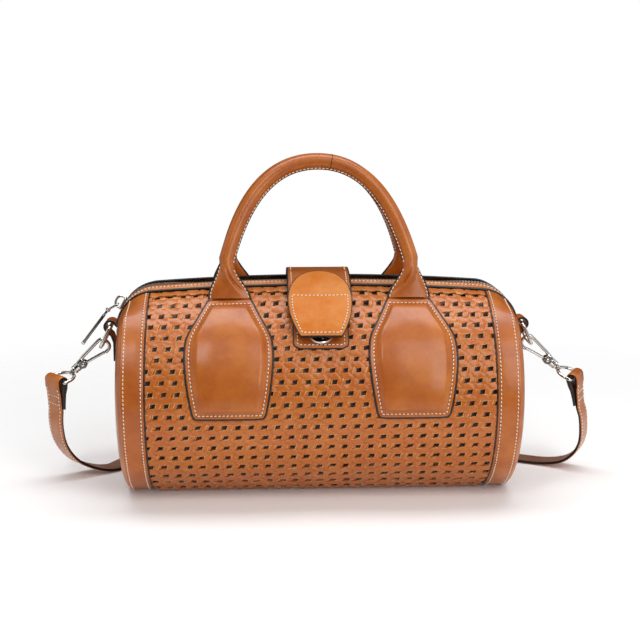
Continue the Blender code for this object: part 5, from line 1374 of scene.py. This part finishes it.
class HANDBAG_OT_flap(bpy.types.Operator):
    """Add the closure: strap over the zip, round-topped tab, snap and the patch under it"""
    bl_idname = "handbag.flap"
    bl_label = "Flap closure"

    def execute(self, context):
        line = smooth_path(closure_line(), 6)
        cut = HINGE_INDEX * 6
        half = CLOSURE_HALF_WIDTH
        columns = (-half, -half + 0.0006, -0.014, -0.005, 0.005, 0.014, half - 0.0006, half)

        def spot(x, k, lift):
            return Vector((x, line[k].y, line[k].z)) + outward(line, k) * lift

        for name, body, part in (
            ("closure_strap", "bag", list(range(0, cut + 1))),
            ("flap_strap", "flap", list(range(cut, len(line)))),
        ):
            part = part[::-1]
            strap = leather_sheet(
                f"{name}_leather", 7, len(part) - 1,
                lambda i, j: spot(columns[i], part[j], 0.00055 if i in (0, 7) else 0.0009), 0.0018,
            )
            wear(strap, body, SKIN, name)
            sewn = part[1:] if body == "bag" else part[:-1]
            rows = [
                [(spot(x, k, 0.00095), outward(line, k)) for k in sewn]
                for x in (0.0024 - half, half - 0.0024)
            ]
            wear(sew(f"{name}_stitches", rows), body, SKIN)
            edges = [
                wire("edge", [spot(x, k, 0.0003) for k in part], 0.0006, material="edge")
                for x in (-half, half)
            ]
            wear(join(f"{name}_edges", edges), body, DARK)
        self.add_tab()
        self.add_snap()
        self.add_patch()
        return {"FINISHED"}

    def add_tab(self):
        line, runs = tab_line()
        length = runs[-1]
        stops = [TAB_ROUND_RUN * (1 - math.cos(t)) for t in spread(0.0, math.pi / 2, 16)]
        stops += spread(TAB_ROUND_RUN, length * 0.9999, 14)[1:]
        columns = spread(-1.0, 1.0, 14)

        def place(i, j):
            run = stops[-1 - j]
            return tab_place(line, runs, columns[i] * max(tab_half_width(run), 0.0004), run)[0]

        tab = leather_sheet(
            "flap_tab_leather", 14, len(stops) - 1, place, 0.0028, ("tab", "edge"), 0.00035
        )
        wear(tab, "flap", SKIN, "flap_tab")
        outline = [(tab_half_width(r), r) for r in stops if tab_half_width(r) > 0.001]
        outline = [(-x, r) for x, r in reversed(outline)] + outline
        rim = [tab_place(line, runs, x, r, -0.0004)[0] for x, r in outline]
        trim("flap_tab_edge", rim, 0.0005, "flap", True)
        start, end = TAB_SEAM_START, length - TAB_SEAM_INSET
        sides = [(tab_half_width(r) - TAB_SEAM_INSET, r) for r in spread(start, end, 12)]
        loop = [(x, start + 0.0006 * (1 - (x / 0.019) ** 2)) for x in spread(-sides[0][0], sides[0][0], 10)]
        loop += sides[1:] + [(x, end) for x in spread(sides[-1][0], -sides[-1][0], 6)[1:]]
        loop += [(-x, r) for x, r in reversed(sides[:-1])]
        seam = [tab_place(line, runs, x, r, 0.00005) for x, r in loop]
        wear(sew("flap_tab_stitches", [seam]), "flap", SKIN)

    def add_snap(self):
        normal = body_normal(SNAP_ANGLE)
        frame = axes(RIGHT, normal.cross(RIGHT), normal, snap_spot(0.0))
        socket = turned("snap_socket_metal", (
            (0.0023, 0.0), (0.0023, 0.0086), (0.0027, 0.009), (0.0040, 0.009), (0.0046, 0.0086),
            (0.0047, 0.0079), (0.0042, 0.0072), (0.0040, 0.0052), (0.0040, 0.0),
        ), frame)
        wear(socket, "bag", METAL, "snap_socket")
        stud = turned("snap_stud_metal", (
            (0.0051, 0.0), (0.0051, 0.0038), (0.0055, 0.0046), (0.0062, 0.0046), (0.0065, 0.0042),
            (0.0065, 0.0),
        ), frame)
        wear(stud, "flap", METAL, "snap_stud")

    def add_patch(self):
        """The patch under the snap, with rounded lower corners."""
        low, high = CLOSURE_PATCH_ANGLES
        corner = CLOSURE_PATCH_CORNER
        angles = spread(low, high, 24)
        columns = spread(-1.0, 1.0, 10)

        def width(angle):
            near = min((angle - low) * HALF_DEPTH, corner)
            reach = math.sqrt(max(corner ** 2 - (corner - near) ** 2, 0.0))
            return CLOSURE_PATCH_HALF_WIDTH - corner + reach

        patch = leather_sheet(
            "closure_patch_leather", 10, 24,
            lambda i, j: body_point(columns[i] * width(angles[j]), angles[j], 0.0018), 0.0015,
        )
        wear(patch, "bag", SKIN, "closure_patch")
        outline = [(-width(a), a) for a in reversed(angles)]
        outline += [(x, low) for x in spread(-width(low), width(low), 6)[1:-1]]
        outline += [(width(a), a) for a in angles]
        trim("closure_patch_edge", [body_point(x * 1.005, a, 0.001) for x, a in outline], 0.0008)
        inset = 0.0023
        seam = []
        for x, a in outline:
            if abs(x) > inset:
                spot = body_point(x - math.copysign(inset, x), max(a, low + inset / HALF_DEPTH), 0.00185)
                seam.append((spot, body_normal(a)))
        wear(sew("closure_patch_stitches", [seam]), "bag", SKIN)


def hook_frame(sign):
    """A hook's frame: its origin at the swivel, X up the hook, Y back."""
    axis = mirrored(HOOK_AXIS, sign)
    top = mirrored(RING_BAR + RING_REACH, sign) + axis * HOOK_SEAT
    across = mirrored(Vector((-HOOK_AXIS.z, 0.0, HOOK_AXIS.x)), sign)
    return axes(axis, BACK, across, top - axis * HOOK_LENGTH + BACK * HOOK_Y)


class HANDBAG_OT_hooks(bpy.types.Operator):
    """Add side tabs, D-rings, snap hooks with their gates and pins, and swivel rings"""
    bl_idname = "handbag.hooks"
    bl_label = "D-rings and snap hooks"

    def execute(self, context):
        for side, sign in SIDES:
            self.add_side_tab(side, sign)
            bar = mirrored(RING_BAR, sign)
            reach = mirrored(RING_REACH, sign)
            down = reach.normalized()
            loop = [bar + BACK * a + down * b for a, b in rounded_loop(0.0096, reach.length, 0.002, 0.0055)]
            ring = wire(f"dring_metal_{side}", loop, 0.0013, True, sides=5)
            wear(ring, f"dring_{side}", METAL, f"dring_{side}")
            self.add_hook(side, hook_frame(sign))
            self.add_swivel(side, sign)
        return {"FINISHED"}

    def add_side_tab(self, side, sign):
        inner, outer, foot = SIDE_TAB_INNER, SIDE_TAB_OUTER, SIDE_TAB_FOOT
        bar = Vector((abs(RING_BAR.x), RING_BAR.z))
        path = [(outer, foot), (outer, foot + 0.007), (outer, 0.1030), (outer + 0.0018, 0.1082)]
        path += [
            (bar.x + 0.0033 * math.cos(a), bar.y + 0.0033 * math.sin(a))
            for a in spread(math.radians(-40), math.radians(165), 12)
        ]
        path += [(inner + 0.0001, bar.y - 0.002), (inner, 0.104), (inner, foot + 0.007), (inner, foot)]
        widths = (-0.007, -0.0066, 0.0, 0.0066, 0.007)
        loop = leather_sheet(
            f"side_tab_leather_{side}", 4, len(path) - 1,
            lambda i, j: Vector((-sign * path[j][0], widths[i] * sign, path[j][1])), 0.0015,
        )
        wear(loop, "bag", SKIN, f"side_tab_{side}")
        corners = [(-0.0048, 0.1035), (-0.0048, foot + 0.0022), (0.0048, foot + 0.0022), (0.0048, 0.1035)]
        row = [(Vector((-sign * outer, y, z)), RIGHT * -sign) for y, z in corners]
        wear(sew(f"side_tab_stitches_{side}", [row]), "bag", SKIN)

    def add_hook(self, side, frame):
        path = (
            (0.0095, 0.0014), (0.0135, 0.0028), (0.0210, 0.0034), (0.0295, 0.0040), (0.0330, 0.0038),
            (0.0349, 0.0022), (HOOK_LENGTH, -0.0006), (0.0350, -0.0034), (0.0330, -0.0052),
            (0.0293, -0.0056),
        )
        curve = [frame @ Vector((p.x, 0.0, p.y)) for p in smooth_path(path, 5)]
        pin_frame = frame @ Matrix.Translation(PIN_PLACE) @ Matrix.Rotation(math.pi / 2, 4, "X")
        up_frame = frame @ axes(UP, BACK, RIGHT)
        parts = [
            wire("bend", curve, 0.00128, sides=5),
            block("fork", (0.0078, -0.0024, -0.0022), (0.0140, 0.0024, 0.0034), frame, 0.0011),
            # The boss round the gate's pin is nickel painted darker, standing for dark reflections round the
            # pin
            turned("boss", (
                (-0.0031, 0.0), (-0.0031, 0.0025), (-0.0027, 0.0030), (0.0027, 0.0030), (0.0031, 0.0025),
                (0.0031, 0.0),
            ), pin_frame, "nickel_painted_dark", 28),
            turned("barrel", (
                (0.0034, 0.0016), (0.0034, 0.0027), (0.0038, 0.0032), (0.0048, 0.0032), (0.0051, 0.0029),
                (0.0055, 0.0029), (0.0058, 0.0032), (0.0086, 0.0032), (0.0089, 0.0028), (0.0089, 0.0),
            ), up_frame, steps=24),
        ]
        wear(join(f"hook_metal_{side}", parts), f"hook_{side}", METAL, f"hook_{side}")
        pin = turned(f"gate_pin_metal_{side}", (
            (-0.0038, 0.0), (-0.0038, 0.0009), (-0.0036, 0.0012), (-0.0031, 0.0013), (-0.0031, 0.0008),
            (0.0031, 0.0008), (0.0031, 0.0013), (0.0036, 0.0012), (0.0038, 0.0009), (0.0038, 0.0),
        ), pin_frame, steps=24)
        wear(pin, f"hook_{side}", METAL, f"gate_pin_{side}")
        stops = ((0.0133, -0.0014), (0.0190, -0.0027), (0.0244, -0.0039), (0.0288, -0.0050))
        gate = [
            wire("arm", [frame @ Vector((x, 0.0, z)) for x, z in stops], 0.00108, sides=4),
            block("eye", (0.0099, -0.0013, -0.0028), (0.0136, 0.0013, 0.0008), frame, 0.0009),
        ]
        wear(join(f"gate_metal_{side}", gate), f"gate_{side}", METAL, f"gate_{side}")

    def add_swivel(self, side, sign):
        across, away = ring_axes(side, sign)
        frame = hook_frame(sign)
        origin = frame.translation
        loop = [
            origin + across * a + away * b for a, b in rounded_loop(0.0099, SWIVEL_LENGTH, 0.0085, 0.0017)
        ]
        parts = [wire("ring", loop, 0.0012, True, sides=5)]
        for name, length, radius in (("stem", 0.0058, 0.0012), ("collar", 0.0022, 0.0020)):
            parts.append(wire(name, [origin, frame @ (RIGHT * length)], radius))
        wear(join(f"strap_ring_metal_{side}", parts), f"strap_end_{side}", METAL, f"strap_ring_{side}")


def ring_axes(side, sign):
    """Directions of a swivel ring: along the bar that the strap is folded round, and away to it."""
    across, lean = STRAP_RING_SET[side]
    away = (lean - across * lean.dot(across)).normalized()
    return mirrored(across, sign), mirrored(away, sign)


def strap_bar(side, sign):
    return hook_frame(sign).translation + ring_axes(side, sign)[1] * SWIVEL_LENGTH


def strap_fall(side, sign):
    """The direction in which the strap leaves its ring."""
    across = ring_axes(side, sign)[0]
    fall = (mirrored(STRAP_DROPS[side][0], -sign) - strap_bar(side, sign)).normalized()
    return (fall - across * fall.dot(across)).normalized()


def strap_drop(side, sign):
    start = strap_bar(side, sign) + strap_fall(side, sign) * (FOLD_LENGTH + 0.0006)
    return smooth_path([start] + [mirrored(place, -sign) for place in STRAP_DROPS[side]], 5)


def strap_widths(line, side, sign):
    """The strap's direction across at each point of its drop, from the ring's bar to level ground."""
    first = ring_axes(side, sign)[0]
    headings = [heading(line, i) for i in range(len(line))]
    headings[0] = strap_fall(side, sign)

    def level(along):
        across = along.cross(UP).normalized()
        return -across if across.y > 0 else across

    landing = next(i for i, point in enumerate(line) if point.z < STRAP_REST + 0.0003)
    directions = []
    for i, (point, along) in enumerate(zip(line, headings)):
        share = ease(1 - point.z / line[0].z)
        across = level(along) if i >= landing else first.lerp(level(headings[landing]), share)
        directions.append((across - along * across.dot(along)).normalized())
    return directions


def lie_point(x, z):
    return Vector((x, STRAP_LIE_Y, z))


def turn_back(x, z_start, direction):
    return [
        lie_point(x + direction * a, z_start + TURN_RADIUS + b)
        for a, b in (
            (TURN_RADIUS * math.cos(t), TURN_RADIUS * math.sin(t))
            for t in spread(-math.pi / 2, math.pi / 2, 10)
        )
    ]


class HANDBAG_OT_straps(bpy.types.Operator):
    """Add the shoulder strap: folded round both swivel rings, down behind the bag to its buckle"""
    bl_idname = "handbag.straps"
    bl_label = "Shoulder strap"

    def top_fold(self, side, sign):
        """Middle line round the ring's bar, from the tail's end on the bag's side to the outer layer."""
        across = ring_axes(side, sign)[0]
        fall = strap_fall(side, sign)
        middle = strap_bar(side, sign)
        face = across.cross(fall).normalized()
        if face.x * sign > 0:
            face = -face
        spots = [(FOLD_LENGTH - 0.001, -0.0015), (0.014, -0.0015), (0.0085, -0.0018), (0.0045, -0.0028)]
        spots += [(-0.0034 * math.sin(a), -0.0034 * math.cos(a)) for a in spread(0.25, math.pi - 0.25, 10)]
        spots += [(0.0045, 0.0028), (0.0085, 0.0016), (0.014, 0.0009)]
        return [middle + fall * f + face * s for f, s in spots], across, face

    def execute(self, context):
        for side, sign in SIDES:
            fold, across, face = self.top_fold(side, sign)
            drop = strap_drop(side, sign)
            tail = self.ground_line(side)
            directions = [across] * len(fold) + strap_widths(drop, side, sign) + [-BACK] * len(tail)
            line = fold + drop + tail
            outer = [heading(line, i).cross(directions[i]).normalized() for i in range(len(line))]
            flip = 1 if outer[len(fold) + 2].dot(face) > 0 else -1
            outer = [normal * flip for normal in outer]
            half = STRAP_WIDTH / 2
            columns = (-half, -half + 0.0005, -0.004, 0.004, half - 0.0005, half)
            lifts = (0.0007, 0.001, 0.00115, 0.00115, 0.001, 0.0007)
            strap = grid(
                f"strap_leather_{side}", 5, len(line) - 1,
                lambda i, j: line[j] + directions[j] * columns[i] * flip + outer[j] * lifts[i],
            )
            paint(strap, "leather", "back", "edge")
            checked = len(fold) + 4
            if strap.data.polygons[checked * 5 + 2].normal.dot(outer[checked]) < 0:
                strap.data.flip_normals()
            modify(
                strap, "SOLIDIFY", thickness=0.0020, offset=-1.0, material_offset=1, material_offset_rim=2
            )
            smooth(strap, 50)
            rows = [
                [
                    (line[k] + directions[k] * x + outer[k] * 0.00112, outer[k])
                    for k in range(len(fold) - 3, len(line))
                ]
                for x in (-half + 0.0022, half - 0.0022)
            ]
            for k in (len(fold) - 2, len(fold) - 1):
                middle = line[k].lerp(line[k + 1], 0.35) + outer[k] * 0.00125
                rows.append([(middle + across * x, outer[k]) for x in (-0.0060, 0.0060)])
            thread = sew(f"strap_stitches_{side}", rows)
            end = drop[0]
            nodes = STRAP_NODES[side]
            for piece in (strap, thread):
                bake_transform(piece)
                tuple(end)
            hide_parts(*nodes)
        self.add_buckle()
        self.add_keeper()
        return {"FINISHED"}

    def ground_line(self, side):
        """The strap on the ground: short on the left, folded to and fro on the right up to its tip."""
        if side == "left":
            return [lie_point(x, z) for x, z in SHORT_END]
        line = [lie_point(x, STRAP_REST) for x in spread(0.085, -0.01, 8)]
        line += turn_back(-0.02, STRAP_REST, -1)
        line += [lie_point(x, STRAP_REST + 2 * TURN_RADIUS) for x in spread(-0.01, 0.09, 8)]
        line += turn_back(0.1, STRAP_REST + 2 * TURN_RADIUS, 1)
        line += [lie_point(x, STRAP_REST + 4 * TURN_RADIUS) for x in spread(0.09, -0.014, 8)]
        return line + smooth_path([lie_point(x, z) for x, z in LONG_END], 4)

    def add_buckle(self):
        low, high = 0.0035, 0.0049
        loop = [
            Vector((BUCKLE_X + b, STRAP_LIE_Y + a, low + (high - low) * b / BUCKLE_LENGTH))
            for a, b in rounded_loop(0.0108, BUCKLE_LENGTH, 0.0016, 0.0016)
        ]
        wear(wire("buckle_metal", loop, 0.0012, True, sides=4), "bag", METAL, "strap_buckle")
        path = [
            lie_point(-0.0605, low), lie_point(-0.0565, low + 0.0003), lie_point(-0.0532, low + 0.0014),
            lie_point(-0.050, high + 0.0014), lie_point(-0.047, high + 0.0023),
            lie_point(-0.045, high + 0.0023),
        ]
        eye = [lie_point(BUCKLE_X + a, low + b) for a, b in circle(0.0021)]
        parts = [wire("arm", smooth_path(path, 3), 0.0008), wire("eye", eye, 0.0007, True)]
        wear(join("buckle_prong_metal", parts), "bag", METAL, "buckle_prong")

    def add_keeper(self):
        half = STRAP_WIDTH / 2 + 0.0009
        low, top = 0.0009, 0.0086
        ring = ((-half, low), (half, low), (half, top), (-half, top))
        band = grid(
            "strap_keeper_leather", 1, 4,
            lambda i, j: Vector((KEEPER_X + KEEPER_LENGTH * i, STRAP_LIE_Y + ring[j % 4][0], ring[j % 4][1])),
        )
        weld(band, 0.00001)
        paint(band, "leather", "edge")
        modify(band, "SOLIDIFY", thickness=0.0011, offset=1.0, use_even_offset=True, material_offset_rim=1)
        modify(band, "BEVEL", width=0.0004, segments=2, limit_method="ANGLE")
        wear(smooth(band), "bag", SKIN, "strap_keeper")


class HANDBAG_OT_hidden(bpy.types.Operator):
    """Give the pieces inside the leather, which stay as CAD, their materials"""
    bl_idname = "handbag.hidden"
    bl_label = "Inner pieces"

    def execute(self, context):
        shown = {"base_board": "board", "handle_core_front": "foam", "handle_core_back": "foam"}
        for place_name in ("front", "back"):
            for side, _ in SIDES:
                shown[f"patch_pad_{place_name}_{side}"] = "foam"
        for name, stuff in shown.items():
            paint(bpy.data.objects.get(name) or frame["nodes"][name], stuff)
        return {"FINISHED"}


class HANDBAG_OT_stage(bpy.types.Operator):
    """Add the pale floor, the studio light and the camera of the photograph"""
    bl_idname = "handbag.stage"
    bl_label = "Studio"

    def execute(self, context):
        deselect()
        bpy.ops.mesh.primitive_plane_add(size=6, location=(0, 0, 0))
        floor = bpy.context.object
        floor.name = "studio_floor"
        floor.data.materials.append(self.floor_material())
        self.add_world()
        for name, place, aim, size, power in (
            ("overhead softbox", (0.0, 0.15, 1.55), (0.0, 0.0, 0.08), (1.5, 0.7), 15.0),
            ("front right softbox", (0.53, -1.02, 0.80), (0.0, 0.0, 0.08), (0.6, 1.3), 9.0),
            ("left softbox", (-0.36, -0.86, 1.10), (-0.08, 0.0, 0.10), (0.18, 0.50), 2.6),
        ):
            lamp = bpy.data.lights.new(name, "AREA")
            lamp.shape = "RECTANGLE"
            lamp.size, lamp.size_y = size
            lamp.energy = power
            holder = added(name, lamp)
            holder.location = place
            holder.rotation_euler = (Vector(aim) - Vector(place)).to_track_quat("-Z", "Y").to_euler()
        self.add_camera()
        return {"FINISHED"}

    def floor_material(self):
        """Matt white paper that fades into the white background at a distance from the bag."""
        material, shader, vector = principled("white paper sweep", Roughness=0.75, Emission_Strength=0.05)
        shader.inputs["Base Color"].default_value = (*linear("#F6F6F6"), 1.0)
        shader.inputs["Emission Color"].default_value = (1.0, 1.0, 1.0, 1.0)
        reach = node(material, "ShaderNodeVectorMath", {0: vector}, operation="LENGTH").outputs["Value"]
        fade = node(material, "ShaderNodeMapRange", {
            "Value": reach, "From Min": 0.24, "From Max": 0.62, "To Min": 0.0, "To Max": 1.0,
        }, interpolation_type="SMOOTHSTEP").outputs["Result"]
        clear = node(material, "ShaderNodeBsdfTransparent")
        mix = node(material, "ShaderNodeMixShader", {0: fade, 1: shader.outputs[0], 2: clear.outputs[0]})
        output = material.node_tree.nodes["Material Output"]
        material.node_tree.links.new(mix.outputs[0], output.inputs["Surface"])
        return material

    def add_world(self):
        """White behind the bag, and a studio of bright panels and dark gaps in what shines."""
        scene = bpy.context.scene
        world = bpy.data.worlds.new("white studio")
        scene.world = world
        world.use_nodes = True
        place = node(world, "ShaderNodeTexCoord").outputs["Generated"]
        parts = node(world, "ShaderNodeSeparateXYZ", {"Vector": place}).outputs
        strength = 0.03
        for axis, low, high, value in (
            ("Z", 0.45, 0.85, 0.35), ("X", 0.66, 0.86, 0.9), ("X", -0.70, -0.88, 0.9)
        ):
            panel = node(world, "ShaderNodeMapRange", {
                "Value": parts[axis], "From Min": low, "From Max": high, "To Min": 0.0, "To Max": value,
            }, interpolation_type="SMOOTHSTEP").outputs["Result"]
            sum_so_far = node(world, "ShaderNodeMath", {0: strength, 1: panel}, operation="ADD")
            strength = sum_so_far.outputs["Value"]
        rays = node(world, "ShaderNodeLightPath").outputs
        shiny, soft, seen = (
            node(world, "ShaderNodeBackground", {"Color": linear("#FFFFFF"), "Strength": level}).outputs[0]
            for level in (strength, 0.31, 1.0)
        )
        lit = node(world, "ShaderNodeMixShader", {0: rays["Is Glossy Ray"], 1: soft, 2: shiny})
        mix = node(world, "ShaderNodeMixShader", {0: rays["Is Camera Ray"], 1: lit.outputs[0], 2: seen})
        world.node_tree.links.new(mix.outputs[0], world.node_tree.nodes["World Output"].inputs["Surface"])
        scene.view_settings.view_transform = "Standard"

    def add_camera(self):
        """The photograph's camera, a little left of the middle and above the bag."""
        level = Vector((math.sin(CAMERA_TURN), -math.cos(CAMERA_TURN), 0.0)) * math.cos(CAMERA_RISE)
        back = level + UP * math.sin(CAMERA_RISE)
        right = Vector((math.cos(CAMERA_TURN), math.sin(CAMERA_TURN), 0.0))
        data = bpy.data.cameras.new("photo camera")
        data.sensor_width = SENSOR_WIDTH
        data.lens = FOCAL_LENGTH * SENSOR_WIDTH
        camera = added("photo camera", data)
        place = CAMERA_AIM + back * CAMERA_DISTANCE
        camera.matrix_world = axes(right, back.cross(right), back, place)
        bpy.context.scene.camera = camera


class HANDBAG_PT_panel(bpy.types.Panel):
    """Sizes, colours and pieces of the handbag's looks"""
    bl_idname = "HANDBAG_PT_panel"
    bl_label = "Barrel handbag"
    bl_space_type = "VIEW_3D"
    bl_region_type = "UI"
    bl_category = "Handbag"

    def draw(self, context):
        for group in (context.scene.handbag_sizes, context.scene.handbag_colours):
            for key in group.bl_rna.properties.keys():
                if key not in ("rna_type", "name"):
                    self.layout.prop(group, key)
        for operator in OPERATORS:
            self.layout.operator(operator.bl_idname)


OPERATORS = (
    HANDBAG_OT_lining, HANDBAG_OT_weave, HANDBAG_OT_ends, HANDBAG_OT_zip, HANDBAG_OT_patches,
    HANDBAG_OT_handles, HANDBAG_OT_flap, HANDBAG_OT_hooks, HANDBAG_OT_straps, HANDBAG_OT_hidden,
    HANDBAG_OT_stage,
)
CLASSES = (HandbagSizes, HandbagColours) + OPERATORS + (HANDBAG_PT_panel,)


def register():
    for kind in CLASSES:
        bpy.utils.register_class(kind)
    bpy.types.Scene.handbag_sizes = PointerProperty(type=HandbagSizes)
    bpy.types.Scene.handbag_colours = PointerProperty(type=HandbagColours)


def unregister():
    del bpy.types.Scene.handbag_colours
    del bpy.types.Scene.handbag_sizes
    for kind in reversed(CLASSES):
        bpy.utils.unregister_class(kind)


def main():
    register()
    make_materials()
    for operator in OPERATORS:
        group, name = operator.bl_idname.split(".")
        getattr(getattr(bpy.ops, group), name)()


if __name__ == "__main__":
    main()
